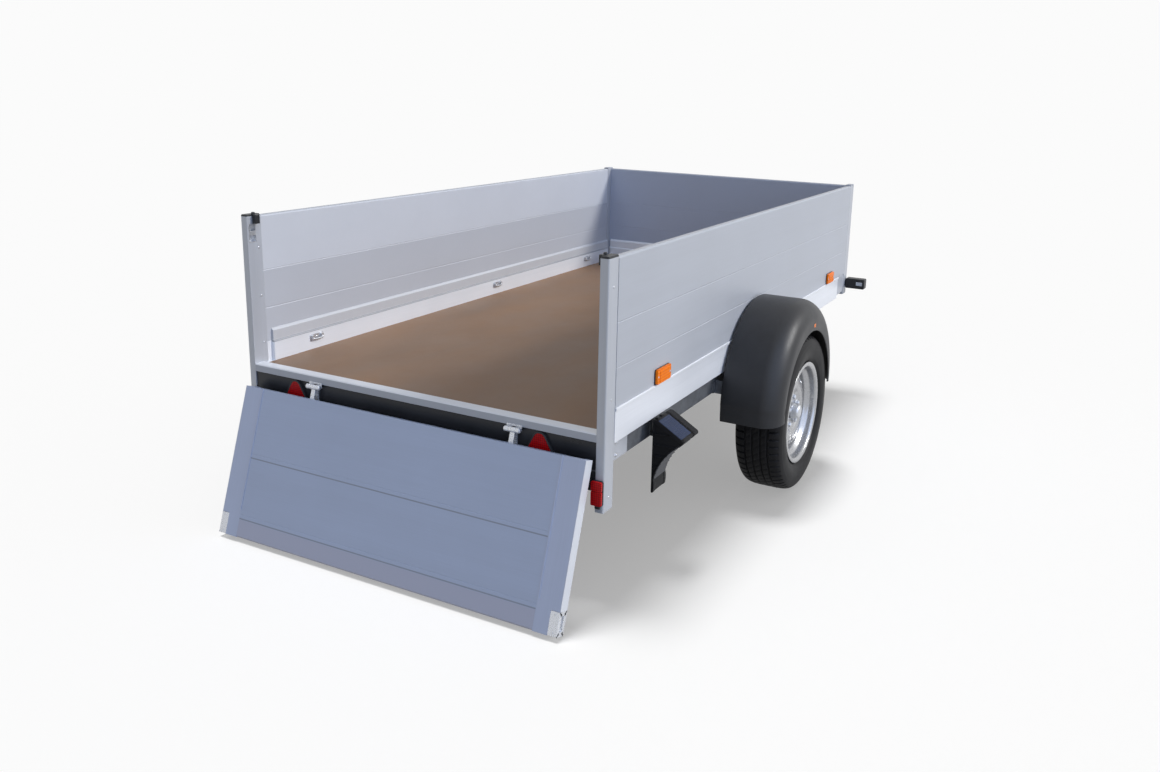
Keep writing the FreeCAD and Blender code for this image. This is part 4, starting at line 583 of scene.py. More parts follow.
def framed(outline, width, axis, low, high):
    # Ring of a given width inside a closed outline, drawn along the axis.
    inner = inset(outline, width)
    corners = ((outline, low), (inner, low), (inner, high), (outline, high))
    loops = [laid(loop, axis, place) for loop, place in corners]
    return np.concatenate(loops), gridFaces(len(loops), len(outline), True, True)


def panel(x0, x1, z0, z1, radius=0.003, steps=3):
    # Rectangle with round corners.
    return soft([(x0, z0), (x1, z0), (x1, z1), (x0, z1)], radius, steps)


def carried(section, path, normal=(0, 1, 0)):
    # Closed section of (aside, up) points carried along a path; aside is across the path and the normal.
    path, section = np.asarray(path, float), np.asarray(section, float)
    path = path[np.append(True, np.linalg.norm(np.diff(path, axis=0), axis=1) > 1e-7)]
    way = np.gradient(path, axis=0)
    way /= np.linalg.norm(way, axis=1, keepdims=True)
    aside = np.cross(way, np.asarray(normal, float))
    aside /= np.linalg.norm(aside, axis=1, keepdims=True)
    up = np.cross(aside, way)
    return lofted(path[:, None] + section[None, :, :1] * aside[:, None] + section[None, :, 1:] * up[:, None])


def arc(radius, turn, centre=(0, 0)):
    # Point = centre + radius * (cos a, sin a).
    return np.stack([centre[0] + radius * np.cos(turn), centre[1] + radius * np.sin(turn)], axis=-1)


def ring(radius, sides):
    return arc(radius, np.linspace(0, 2 * math.pi, sides, endpoint=False))


def around(centre, radius, turn, along):
    # Points at a radius and an angle about a line along Y through centre.
    x, y, z = np.broadcast_arrays(centre[0] + radius * np.cos(turn), centre[1] + along,
                                  centre[2] + radius * np.sin(turn))
    return np.stack([x, y, z], axis=-1)


def tube(path, radius, sides, bend, normal=(0, 1, 0)):
    # Round bar along a path with soft bends.
    return carried(ring(radius, sides), soft(path, bend, 8, False), normal)


def brick(low, high):
    # Plain box between two corners, for a piece that gets its edges rounded.
    (x0, y0, z0), (x1, y1, z1) = low, high
    return drawn([(y0, z0), (y1, z0), (y1, z1), (y0, z1)], "x", x0, x1)


def copies(shape, places):
    # The same shape moved to several places.
    points, faces = shape
    places = np.asarray(places, float).reshape(-1, 3)
    moved = (places[:, None] + points[None]).reshape(-1, 3)
    return moved, [[i + k * len(points) for i in face] for k in range(len(places)) for face in faces]


def dome(size, about, sign, places):
    # Round screw heads.
    profile = np.array([(0, -0.2), (1, -0.2), (1, 0.08), (0.88, 0.30), (0.55, 0.46), (0, 0.5)]) * size
    return copies(lathed(profile * (1, sign), origin, about, 14), places)


def hexHeads(size, about, sign, places):
    # Round washers, each with a six-sided head and the end of its bolt.
    washer = [(0, -0.1), (1.35, -0.1), (1.35, 0.10), (1.2, 0.2), (0, 0.2)]
    head = [(0, 0), (1, 0), (1, 0.62), (0.84, 0.78), (0, 0.78)]
    end = [(0, 0.7), (0.5, 0.7), (0.5, 1.15), (0.42, 1.25), (0, 1.25)]
    return [copies(lathed(np.array(part) * size * (1, sign), origin, about, sides), places)
            for part, sides in ((washer, 18), (head, 6), (end, 12))]


def leaned(shape, angle, centre):
    # Turn a shape about a line along Y through centre: x' = x cos a + z sin a, z' = z cos a - x sin a.
    away = shape[0] - np.asarray(centre, float)
    x, z = away[:, 0].copy(), away[:, 2].copy()
    away[:, 0] = x * math.cos(angle) + z * math.sin(angle)
    away[:, 2] = z * math.cos(angle) - x * math.sin(angle)
    return away + np.asarray(centre, float), shape[1]


def mirrored(shapes):
    # The shapes on the other side of the trailer.
    return [(points * (1, -1, 1), [face[::-1] for face in faces]) for points, faces in shapes]


def makePiece(name, shapes, finish, stands="", edge=0.0, body="root", slot="", segments=2, sharp=32, skin=0.0):
    # One object from several shapes: merged, faces outwards, with rounded edges and a thickness if asked for.
    # It stands in for the nodes that stands names.
    faces, start = [], 0
    for shape in shapes:
        faces += [[i + start for i in face] for face in shape[1]]
        start += len(shape[0])
    mesh = bpy.data.meshes.new(name)
    mesh.from_pydata(np.concatenate([shape[0] for shape in shapes]).tolist(), [], faces)
    work = bmesh.new()
    work.from_mesh(mesh)
    bmesh.ops.remove_doubles(work, verts=work.verts, dist=1e-6)
    bmesh.ops.recalc_face_normals(work, faces=work.faces)
    work.to_mesh(mesh)
    work.free()
    mesh.shade_smooth()
    mesh.set_sharp_from_angle(angle=math.radians(sharp))
    mesh.materials.append(materials[finish])
    piece = bpy.data.objects.new(name, mesh)
    bpy.context.scene.collection.objects.link(piece)
    trailerOnly.objects.link(piece)
    if skin:
        wall = piece.modifiers.new("wall", "SOLIDIFY")
        wall.thickness, wall.offset = skin, 0
    if edge:
        rounding = piece.modifiers.new("edges", "BEVEL")
        rounding.width, rounding.segments = edge, segments
        rounding.limit_method, rounding.angle_limit = "ANGLE", math.radians(sharp)
        rounding.harden_normals = True
    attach(piece, body)
    if stands:
        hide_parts(*stands.split())


def makePair(name, shapes, *finish, **options):
    # One piece with the shapes on both sides of the trailer.
    makePiece(name, list(shapes) + mirrored(shapes), *finish, **options)


def makeSides(body, *pieces):
    # The pieces for the left, then for the right. Names of pieces, nodes and wheels end with the side.
    for side in ("left", "right"):
        for name, shapes, finish, stands, options in pieces:
            turned = shapes if side == "left" else mirrored(shapes)
            makePiece(name + "_" + side, turned, finish, stands + "_" + side,
                      body=body + side if body == "wheel_" else body, **options)


# Wheels

tyreLow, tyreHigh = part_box("tyre_left")
wheel = {
    "x": (tyreLow.x + tyreHigh.x) / 2,
    "track": (tyreLow.y + tyreHigh.y) / 2,
    "radius": tyreHigh.z / 2,
    "half": (tyreHigh.y - tyreLow.y) / 2,
    "seat": 0.597,                       # bead seat, as a part of the radius
    "flange": 0.0165,
    "well": 0.018,
    "rimHalf": 0.081,
    "gauge": 0.004,
    "offset": 0.030,                     # hub face from the wheel's middle
    "dish": 0.014,
    "discWall": 0.005,
    "windows": 10,
    "windowCircle": 0.122,
    "windowSize": (0.0145, 0.0120),      # half its length round the disc, half its height
    "cell": 0.019,                       # half the height of the disc's ring that has the windows
    "pitches": 64,                       # tread blocks round the tyre
    "treadDepth": 0.0065,
    "shoulder": 0.046,                   # where the slots of the shoulder blocks start
    "grooves": (-0.042, -0.015, 0.015, 0.042),
    "nuts": 5,
    "nutCircle": 0.056,
}
wheelCentre = np.array([wheel["x"], wheel["track"], wheel["radius"]])
rimSeat = wheel["seat"] * wheel["radius"]


def tyreShape():
    # Section: sidewalls as along = f(radius) and a tread as radius = g(across), spun about the axle. The
    # tread sinks by its depth in four grooves, in slots between the shoulder blocks and in slanted sipes.
    r, half, rim = wheel["radius"], wheel["half"], wheel["rimHalf"]
    flange = rimSeat + wheel["flange"]
    wall = r - flange
    outer = soft([(rimSeat, rim - 0.013), (flange + 0.001, rim - 0.009), (flange + 0.13 * wall, half - 0.007),
                  (flange + 0.46 * wall, half + 0.0008), (flange + 0.80 * wall, half - 0.006),
                  (flange + 0.95 * wall, half - 0.019), (r, half - 0.046), (r, 0)], 0.020, 8, False)
    rise = np.linspace(rimSeat, flange + 0.93 * wall, 30)
    level = np.interp(rise, outer[:, 0], outer[:, 1])
    for place, width, high in ((0.16, 0.0022, 0.0016), (0.70, 0.0014, 0.0008), (0.76, 0.0014, 0.0008)):
        level = level + high * np.exp(-((rise - flange - place * wall) / width) ** 2)
    across = np.linspace(level[-1] - 0.001, 0, 44)
    widest = np.argmax(outer[:, 1])
    crown = np.interp(-across, -outer[widest:, 1], outer[widest:, 0])
    w = np.concatenate([level, across, -across[-2::-1], -level[::-1]])
    radius = np.concatenate([rise, crown, crown[-2::-1], rise[::-1]])
    steps = wheel["pitches"] * 6
    turn = np.linspace(0, 2 * math.pi, steps, endpoint=False)[:, None]
    phase = turn * wheel["pitches"] / (2 * math.pi)
    groove = sum(np.exp(-((w - place) / 0.0030) ** 4) for place in wheel["grooves"])
    slot = (np.abs(w) > wheel["shoulder"]) * (np.mod(phase + np.sign(w) * 0.25, 1) < 0.22) * 0.8
    sipe = (np.abs(w) < wheel["shoulder"]) * (np.mod(phase + w * 22, 1) < 0.17) * 0.35
    sink = wheel["treadDepth"] * (radius > r - 0.012) * np.clip(groove + slot + sipe, 0, 1)
    points = around(wheelCentre, radius - sink, turn, w)
    return points.reshape(-1, 3), gridFaces(steps, len(w), True, True)


def barrelShape():
    # Rolled rim section: flanges, bead seats and drop centre, spun about the axle.
    seat, w, g = rimSeat - 0.0003, wheel["rimHalf"], wheel["gauge"]
    lip, well = seat + wheel["flange"], seat - wheel["well"]
    under = well - g
    outline = [(lip, w), (lip, w - g), (seat, w - 0.012), (seat - 0.001, 0.63 * w), (well, 0.46 * w),
               (well, -0.38 * w), (seat - 0.001, -0.56 * w), (seat, -w + 0.012), (lip, -w + g), (lip, -w),
               (seat + 0.002, -w), (seat - g, -w + 0.008), (seat - g - 0.001, -0.58 * w), (under, -0.40 * w),
               (under, 0.48 * w), (seat - g - 0.001, 0.65 * w), (seat - g, w - 0.008), (seat + 0.002, w)]
    return lathed(outline, wheelCentre, "y", 120, 0.0045, 4, True)


def discShapes():
    # Dished disc: height along the axle is f(radius). Round each window a cell of the disc is a grid that
    # runs from the window's ellipse out to the cell's four sides.
    under = rimSeat - wheel["well"] - wheel["gauge"]
    foot, pilot, seat = 0.069, 0.0286, wheel["offset"] + 0.0025
    reach = under - foot
    profile = soft([(pilot, seat), (foot, seat), (foot + 0.22 * reach, seat + wheel["dish"]),
                    (foot + 0.60 * reach, seat + wheel["dish"] - 0.005), (under, seat - 0.014)], 0.014, 8, False)
    circle, (across, tall) = wheel["windowCircle"], wheel["windowSize"]
    low, high = circle - wheel["cell"], circle + wheel["cell"]
    count, columns = wheel["windows"], 12
    half = math.pi / count
    side = np.linspace(-1, 1, columns + 1)[:-1]
    edgeTurn = np.concatenate([side * half, np.full(columns, half), -side * half, np.full(columns, -half)])
    edgeRadius = np.concatenate([np.full(columns, low), low + (side + 1) / 2 * (high - low),
                                 np.full(columns, high), high - (side + 1) / 2 * (high - low)])
    away = np.arctan2(edgeRadius - circle, edgeTurn * circle)
    part = np.linspace(0, 1, 6)[:, None]
    cellTurn = across * np.cos(away) / circle * (1 - part) + edgeTurn * part
    cellRadius = (circle + tall * np.sin(away)) * (1 - part) + edgeRadius * part
    turn = np.linspace(0, 2 * math.pi, count * columns, endpoint=False)[None, :]
    grids = [(cellRadius, cellTurn + 2 * half * (i + 0.5)) for i in range(count)]
    grids += [(np.linspace(start, end, rows)[:, None] + 0 * turn, turn)
              for start, end, rows in ((pilot, low, 26), (high, under + 0.001, 8))]
    return [(around(wheelCentre, radius, angle, np.interp(radius, profile[:, 0], profile[:, 1])).reshape(-1, 3),
             gridFaces(*radius.shape, False, True)) for radius, angle in grids]


def hubShapes():
    # Brake drum and bearing hub, spun; the nuts are six-sided, each over its round washer.
    start, end = -0.114, wheel["offset"] - 0.0003
    drumRadius = rimSeat - wheel["well"] - wheel["gauge"] - 0.044
    drum = lathed([(0.0173, start), (drumRadius, start), (drumRadius, start + 0.058), (0.066, start + 0.064),
                   (0.066, end), (0.0173, end)], wheelCentre, "y", 72, 0.003, 3, True)
    seat = wheel["offset"] + 0.0055
    cap = lathed([(0, seat - 0.006), (0.0275, seat - 0.006), (0.0275, seat + 0.012), (0.0262, seat + 0.030),
                  (0.0190, seat + 0.0355), (0, seat + 0.0365)], wheelCentre, "y", 48, 0.0045, 5)
    capLine = rod(0.0292, seat + 0.004, seat + 0.009, wheelCentre, "y", 48, 0.0008, 2, 0.0272)
    turn = 2 * math.pi * np.arange(wheel["nuts"]) / wheel["nuts"] + math.pi / 2
    places = around(wheelCentre, wheel["nutCircle"], turn, seat)
    nut = lathed([(0, 0), (0.0098, 0), (0.0098, 0.010), (0.0075, 0.0135), (0, 0.0135)], origin, "y", 6)
    washer = lathed([(0, 0), (0.0122, 0), (0.0122, 0.0025), (0.0108, 0.0035), (0, 0.0035)], origin, "y", 20)
    return drum, [cap, capLine], [copies(nut, places), copies(washer, places)]


drum, caps, nuts = hubShapes()
makeSides("wheel_", ("roadTyre", [tyreShape()], "tyreRubber", "tyre", {"sharp": 40}),
          ("rimBarrel", [barrelShape()], "rimSilver", "rim", {"sharp": 50}),
          ("rimDisc", discShapes(), "rimSilver", "rim", {"skin": wheel["discWall"], "sharp": 50}),
          ("brakeDrum", [drum], "drumIron", "hub", {}),
          ("greaseCap", caps, "zinc", "hub", {}),
          ("wheelNuts", nuts, "zinc", "hub", {"edge": 0.0006}))
print("wheels ready")


# Mudguards

guardLow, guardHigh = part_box("mudguard_left")
guard = {
    "shell": 0.004,
    "shoulder": 0.075,
    "lip": 0.078,                        # side lip's depth at the ends
    "lipDeeper": 0.034,
    "innerLip": 0.018,
    "front": -5.0,                       # degrees about the guard's centre
    "rear": 187.5,
    "crease": 0.058,                     # above the rear edge
    "creaseWidth": (0.0015, 0.0022),     # of the step and of the ridge on it
    "reflector": (0.020, 0.013),
}
guardCentre = np.array([wheel["x"] - 0.015, 0, wheel["radius"] + 0.082])
guardRadius = guardHigh.z - guardCentre[2]


def guardShape():
    # At each angle the section is a closed line of (radius, y): inner lip, top, round shoulder, side lip. Up to
    # the crease the top lies 2.2 mm lower, by a tanh step, with a bell-shaped ridge on the crease.
    r, t, s = guardRadius, guard["shell"], guard["shoulder"]
    inner, outer = guardLow.y, guardHigh.y
    turn = np.radians(np.linspace(guard["front"], guard["rear"], 150))[:, None]
    quarter = arc(1, np.linspace(0, math.pi / 2, 18))
    corner = np.array([r - s, outer - s])
    lip = r - guard["lip"] - guard["lipDeeper"] * np.maximum(0, np.sin(turn))
    outside = np.concatenate([[(r - guard["innerLip"], inner), (r - 0.004, inner), (r - 0.001, inner + 0.001),
                               (r, inner + 0.004), (r, inner + 0.03)], corner + s * quarter])
    inside = np.concatenate([corner + (s - t) * quarter[::-1],
                             [(r - t, inner + t), (r - guard["innerLip"], inner + t)]])
    foot = np.array([(0.006, 0), (0.003, 0), (0, -0.0006), (-0.0015, -0.0025), (0, -t - 0.0012),
                     (0.004, -t - 0.0012), (0.006, -t)])
    above = (np.radians(guard["rear"]) - turn) * r - guard["crease"]
    step, width = guard["creaseWidth"]
    push = -0.0022 * (1 - 0.5 * (1 + np.tanh(above / step))) + 0.0012 * np.exp(-(above / width) ** 2)
    flat = np.clip((outside[:, 0] - (r - s)) / s, 0, 1)
    none = 0 * turn
    radius = np.concatenate([outside[:, 0] + push * flat, lip + foot[:, 0], inside[:, 0] + none], axis=1)
    y = np.concatenate([outside[:, 1] + none, outer + foot[:, 1] + none, inside[:, 1] + none], axis=1)
    return lofted(around(guardCentre, radius, turn, y))


def guardReflector():
    # Small amber reflector on the side lip over the wheel.
    wide, tall = guard["reflector"]
    x, z = wheel["x"] + 0.012, guardCentre[2] + guardRadius - guard["lip"] - guard["lipDeeper"] + 0.018
    face = panel(x - wide / 2, x + wide / 2, z - tall / 2, z + tall / 2)
    return drawn(face, "y", guardHigh.y - 0.003, guardHigh.y + 0.0002)


makeSides("root", ("mudguardShell", [guardShape()], "blackPlastic", "mudguard", {"sharp": 40}))
makePair("guardReflectors", [guardReflector()], "amberLens")
print("mudguards ready")


# Wheel chocks

chockLow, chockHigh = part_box("chocks")
chock = {
    "inner": bodyHalf + 0.004,
    "slant": 0.053,
    "land": 0.012,
    "tip": 0.010,
    "hollow": 0.026,
    "recess": 0.006,
    "rim": (0.0022, 0.014),              # width and depth of the rims round its ends
    "body": 0.092,                       # width below the cover
    "cover": 0.014,                      # thickness of the cover on the slanted top
    "pad": 0.074,                        # width of the grip pad on the cover, its dark blue a painted sky reflection
    "ridges": 12,
    "teeth": 9,
}


def chockShapes():
    # Side outline: straight back, slanted top, and a hollow that bows in by 4 t (1 - t) * depth.
    inner, outer, top, foot = chock["inner"], chockHigh.y, chockHigh.z, chockLow.z
    tip, land = top - chock["slant"], chock["inner"] + chock["land"]
    a, b = np.array([outer, tip - chock["tip"]]), np.array([inner, foot])
    chord = (b - a) / np.linalg.norm(b - a)
    inwards = np.array([chord[1], -chord[0]])

    def hollowAt(t):
        return a * (1 - t) + b * t + 4 * t * (1 - t) * chock["hollow"] * inwards

    hollow = hollowAt(np.linspace(0, 1, 15)[:, None])
    outline = np.concatenate([[(inner, top), (land, top), (outer, tip)], hollow, [(inner, foot)]])
    outline[-3, 0] = outline[-4, 0] = inner + 0.009
    outline[-2] = (inner + 0.007, foot)
    outline = soft(outline, [0.004, 0.008, 0.004, 0.004] + [0.001] * 13 + [0.0032, 0.0032], 3)
    x0, x1 = chockLow.x, chockLow.x + chock["body"]
    cover = soft([(inner, top), (land, top), (outer, tip), (outer, tip - chock["tip"]),
                  (outer - 0.006, tip - chock["tip"]), (land, top - chock["cover"]), (inner, top - chock["cover"])],
                 [0.003, 0.008, 0.004, 0.003, 0.002, 0.004, 0.001], 3)
    width, deep = chock["rim"]
    shapes = [drawn(inset(outline, 0.0012), "x", x0 + chock["recess"], x1 - chock["recess"]),
              framed(outline, width, "x", x0 + 0.0004, x0 + deep), framed(outline, width, "x", x1 - deep, x1),
              drawn(cover, "x", x0, chockHigh.x)]
    for z in np.linspace(top - 0.045, foot + 0.085, 4):
        reach = np.interp(z, hollow[::-1, 1], hollow[::-1, 0]) if z < tip else outer - (z - tip) * 1.6
        shapes += [brick((start, inner + 0.004, z - 0.002), (start + 0.006, reach - 0.004, z + 0.002))
                   for start in (x0 + 0.0015, x1 - 0.0075)]
    shapes += [brick((x, inner + 0.002, top - 0.004), (x + 0.014, inner + 0.012, top + 0.004))
               for x in (x0 + 0.010, x0 + 0.040)]
    sole = [drawn(np.array([root - chord * 0.005 + inwards * 0.002, root + (-chord[1] * 0.0035, chord[0] * 0.0035),
                            root + chord * 0.005 + inwards * 0.002]), "x", x0 + 0.005, x1 - 0.005)
            for root in hollowAt(np.linspace(0.08, 0.78, chock["teeth"])[:, None])]
    skin = np.concatenate([hollow[1:-3] + inwards * 0.003, hollow[1:-3][::-1] - inwards * 0.0012])
    sole.append(drawn(skin, "x", x0 + 0.005, x1 - 0.005))
    slope = np.array([outer - land, -chock["slant"]])
    slope /= np.linalg.norm(slope)
    up = np.array([-slope[1], slope[0]])
    start, end = np.array([land, top]) + slope * 0.006, np.array([outer, tip]) - slope * 0.008
    pad = [drawn([start - up * 0.002, end - up * 0.002, end + up * 0.0012, start + up * 0.0012], "x",
                 x0 + 0.003, x0 + 0.003 + chock["pad"])]
    for part in np.linspace(0.06, 0.94, chock["ridges"]):
        place = start * (1 - part) + end * part + up * 0.001
        pad.append(drawn([place - slope * 0.0014, place + slope * 0.0014, place + slope * 0.0006 + up * 0.0009,
                          place - slope * 0.0006 + up * 0.0009], "x", x0 + 0.008, x0 + chock["pad"] - 0.003))
    return shapes, pad, sole


shapes, pad, sole = chockShapes()
makePair("chockSoles", sole, "greyRubber", "chocks", 0.0005)
makePair("chockBodies", shapes, "chockPlastic", "chocks", 0.0009)
makePair("chockPads", pad, "chockTop", "chocks", 0.0004)
chockBolt = ((chockLow.x + chockHigh.x) / 2, innerHalf + 0.0042 - 0.012, railBottom + 0.045)
makePair("chockBolts", hexHeads(0.006, "y", -1, [chockBolt]), "zinc", edge=0.0004)


# Lamps, reflectors and markers

lampLow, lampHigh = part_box("tail_lamps")
signLow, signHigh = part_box("rear_reflectors")
frontLow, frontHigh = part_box("front_lamps")
markerLow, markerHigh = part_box("side_markers")
lamps = {
    "housing": 0.006,                    # tail lamp: depth of its dark housing
    "corner": 0.005,
    "split": 0.60,                       # height of the line between its two lenses
    "reflectorIn": 0.210,
    "reflectorSide": 0.170,
    "reflectorRound": 0.024,
    "reflectorRim": 0.0045,
    "marker": (0.100, 0.048, 0.012),
    "markerBase": 0.0035,
    "lens": 0.008,
}


def lampShapes():
    x0, x1 = lampLow.x, lampHigh.x
    y0, y1, z0, z1 = innerHalf - 0.011, bodyHalf, lampLow.z, lampHigh.z
    back = [drawn(panel(y0, y1, z0, z1, lamps["corner"]), "x", x1 - lamps["housing"], x1),
            drawn(panel(y0 + 0.010, y1 - 0.010, z0 - 0.012, z0 + 0.002), "x", x1 - 0.005, x1)]
    split = z0 + lamps["split"] * (z1 - z0)
    lens = [drawn(panel(y0 + 0.0012, y1 - 0.0012, a, b, 0.0035), "x", x0, x1 - lamps["housing"] + 0.0005)
            for a, b in ((z0 + 0.0012, split - 0.0005), (split + 0.0005, z1 - 0.0012))]
    return back, lens


def reflectorShapes():
    # Corners on a circle of side / sqrt(3) less twice the rounding, each rounded by an arc of 120 degrees.
    edge, rim = lamps["reflectorRound"], lamps["reflectorRim"]
    reach = lamps["reflectorSide"] / math.sqrt(3) - 2 * edge
    corner = np.radians([90, 210, 330])[:, None]
    places = arc(reach, corner, (bodyHalf - lamps["reflectorIn"], signHigh.z - edge - reach))
    outline = (places + arc(edge, corner + np.radians(np.linspace(-60, 60, 11)))).reshape(-1, 2)
    rims = [framed(outline, rim, "x", signLow.x, signHigh.x),
            drawn(inset(outline, 0.001), "x", signHigh.x - 0.003, signHigh.x)]
    return rims, [drawn(inset(outline, rim - 0.0003), "x", signLow.x + 0.0006, signHigh.x - 0.002)]


def markerShapes():
    (long, tall, deep), top = lamps["marker"], markerHigh.z
    low, face = top - tall, bodyHalf + deep
    bases, lens, screws = [], [], []
    for x in (markerLow.x + long / 2, markerHigh.x - long / 2):
        x0, x1 = x - long / 2, x + long / 2
        bases.append(drawn(panel(x0, x1, low, top, 0.005), "y", bodyHalf, bodyHalf + lamps["markerBase"]))
        lens += [drawn(panel(x0 + 0.001, x1 - 0.001, low + 0.001, top - 0.001, 0.006), "y", bodyHalf + 0.003,
                       face - 0.0012),
                 drawn(panel(x0 + 0.018, x1 - 0.018, low + 0.007, top - 0.007), "y", face - 0.002, face)]
        screws.append(dome(0.0032, "y", 1, [(along, face - 0.0012, (low + top) / 2)
                                            for along in (x0 + 0.009, x1 - 0.009)]))
    return bases, lens, screws


def frontLampShapes():
    x0, x1, z0, z1 = frontLow.x, frontHigh.x, frontLow.z, frontHigh.z
    y0, y1 = bodyHalf + 0.003, frontHigh.y
    face = panel(y0 + 0.002, y1 - 0.002, z0 + 0.002, z1 - 0.002, 0.005)
    shell = [drawn(panel(y0, y1, z0, z1, 0.006, 4), "x", x0 + 0.003, x1), drawn(face, "x", x0, x0 + 0.006),
             brick((x0 + 0.004, bodyHalf, z0 + 0.009), (x0 + 0.021, y0 + 0.004, z1 - 0.009)),
             framed(face, 0.0025, "x", x1 - 0.001, x1 + 0.0025)]
    lens = drawn(panel(y0 + 0.0045, y1 - 0.0045, z0 + 0.0045, z1 - 0.0045, 0.004), "x", x1 - 0.001,
                 x1 + lamps["lens"])
    glow = drawn(panel(y1 - 0.040, y1 - 0.010, z0 + 0.017, z1 - 0.015, 0.002), "x", x0 - 0.0008, x0 + 0.002)
    return shell, [lens], [glow]


back, lens = lampShapes()
makePair("tailLampHousings", back, "blackPlastic", "tail_lamps", 0.0012)
makePair("tailLampLenses", lens, "redLens", "tail_lamps", 0.0025, segments=4)
rims, lens = reflectorShapes()
makePair("reflectorRims", rims, "blackPlastic", "rear_reflectors", 0.0008)
makePair("reflectorLenses", lens, "redLens", "rear_reflectors", 0.0006)
bases, lens, screws = markerShapes()
makePair("markerBases", bases, "blackPlastic", "side_markers", 0.0006)
makePair("markerLenses", lens, "amberLens", "side_markers", 0.0016, segments=3)
makePair("markerScrews", screws, "zinc")
shell, lens, glow = frontLampShapes()
makePair("frontLampShells", shell, "blackPlastic", "front_lamps", 0.0015, segments=3)
makePair("frontLampLenses", lens, "whiteLens", "front_lenses", 0.002, segments=3)
makePair("frontLampWindows", glow, "whiteLens", edge=0.0006)
print("chocks and lamps ready")


# Hinges, latches, keepers and caps

hinge = {
    "back": 0.013,                       # pin's line behind the rear posts' face
    "drop": 0.028,                       # and below the floor's top
    "in": 0.297,
    "width": 0.052,
    "barrel": 0.008,
    "bore": 0.0041,
    "stem": 0.016,
    "leaf": 0.004,
    "rise": 0.070,
}
hingePlace = np.array([rearX - hinge["back"], bodyHalf - hinge["in"], floorTop - hinge["drop"]])
gateTurn = gateLean - math.pi
gateFoot, gateInner = floorTop + 0.011, rearX + 0.009
gateOuter, gateHalf = gateInner - 0.025, postInner - 0.005
gateEndOuter = gateOuter - 0.014


def onGate(*shapes):
    return [leaned(shape, gateTurn, hingePlace * (1, 0, 1)) for shape in shapes]


def knuckles(start, end):
    return rod(hinge["barrel"], start, end, hingePlace * (1, 0, 1), "y", 32, 0.0008, 2, hinge["bore"])


def bracketShapes():
    x, y, z = hingePlace
    half, quarter, stem = hinge["width"] / 2, hinge["width"] / 4, hinge["stem"] / 2
    head = half + 0.0012
    shapes = [lathed([(0, y - head), (0.0052, y - head), (0.0052, y - half), (0.004, y - half), (0.004, y + half),
                      (0.0052, y + half), (0.0052, y + head), (0, y + head)], (x, 0, z), "y", 20, 0.0003, 2)]
    for start in (y - half, y + half - quarter):
        shapes += [knuckles(start, start + quarter),
                   brick((x + 0.002, start, z - 0.004), (rearX, start + quarter, z + 0.004))]
    shapes += [drawn(panel(y - half, y + half, z - 0.003, z + 0.013), "x", rearX - 0.003, rearX),
               drawn(panel(y - stem, y + stem, railBottom + 0.014, z + 0.008, 0.004), "x", rearX - 0.003,
                     rearX + 0.004)]
    return shapes, [dome(0.0036, "x", -1, [(rearX - 0.003, y, railBottom + 0.026)])]


def leafShapes():
    x, y, z = hingePlace
    half, quarter, stem = hinge["width"] / 2, hinge["width"] / 4, hinge["stem"] / 2
    face, top = gateOuter - hinge["leaf"], gateFoot + hinge["rise"]
    outline = soft([(y - stem, z + 0.006), (y + stem, z + 0.006), (y + stem, gateFoot), (y + half, gateFoot),
                    (y + half, top), (y - half, top), (y - half, gateFoot), (y - stem, gateFoot)],
                   [0, 0, 0.002, 0.004, 0.006, 0.006, 0.004, 0.002], 3)
    bolts = hexHeads(0.0055, "x", -1, [(face, y + side * 0.015, gateFoot + up)
                                       for side in (-1, 1) for up in (0.022, 0.050)])
    knuckle = knuckles(y - half + quarter + 0.0004, y + half - quarter - 0.0004)
    return onGate(drawn(outline, "x", face, gateOuter), knuckle), onGate(*bolts)


def latchShapes():
    x0, x1, y0, y1 = gateEndOuter, gateInner, gateHalf - 0.030, gateHalf
    z0, z1 = wallTop - 0.070, wallTop
    face, middle = panel(x0, x1, z0, z1, 0.004), (y0 + y1) / 2
    lever = panel(y0 + 0.005, y1 - 0.005, z0 - 0.010, z1 - 0.020, 0.005, 4)
    shapes = [drawn(face, "y", y0, y1 - 0.0095), framed(face, 0.0125, "y", y1 - 0.010, y1),
              drawn(lever, "x", x0 - 0.012, x0 - 0.004),
              rod(0.007, x0 - 0.006, x0 + 0.001, (0, middle, z1 - 0.034), "x", 24, 0.0008, 2)]
    return onGate(*shapes), onGate(dome(0.003, "x", 1, [(x1, middle, z) for z in (z0 + 0.010, z1 - 0.010)]))


def keeperShapes():
    x0, z0 = rearX + 0.006, wallTop - 0.086
    mouth = panel(x0, x0 + 0.030, z0, z0 + 0.060, 0.002)
    bar = panel(x0 + 0.001, x0 + 0.029, z0 + 0.023, z0 + 0.037, 0.001)
    return [framed(mouth, 0.002, "y", postInner - 0.0006, postInner + 0.016),
            drawn(inset(mouth, 0.001), "y", postInner + 0.014, postInner + 0.016),
            drawn(bar, "y", postInner - 0.0002, postInner + 0.002)]


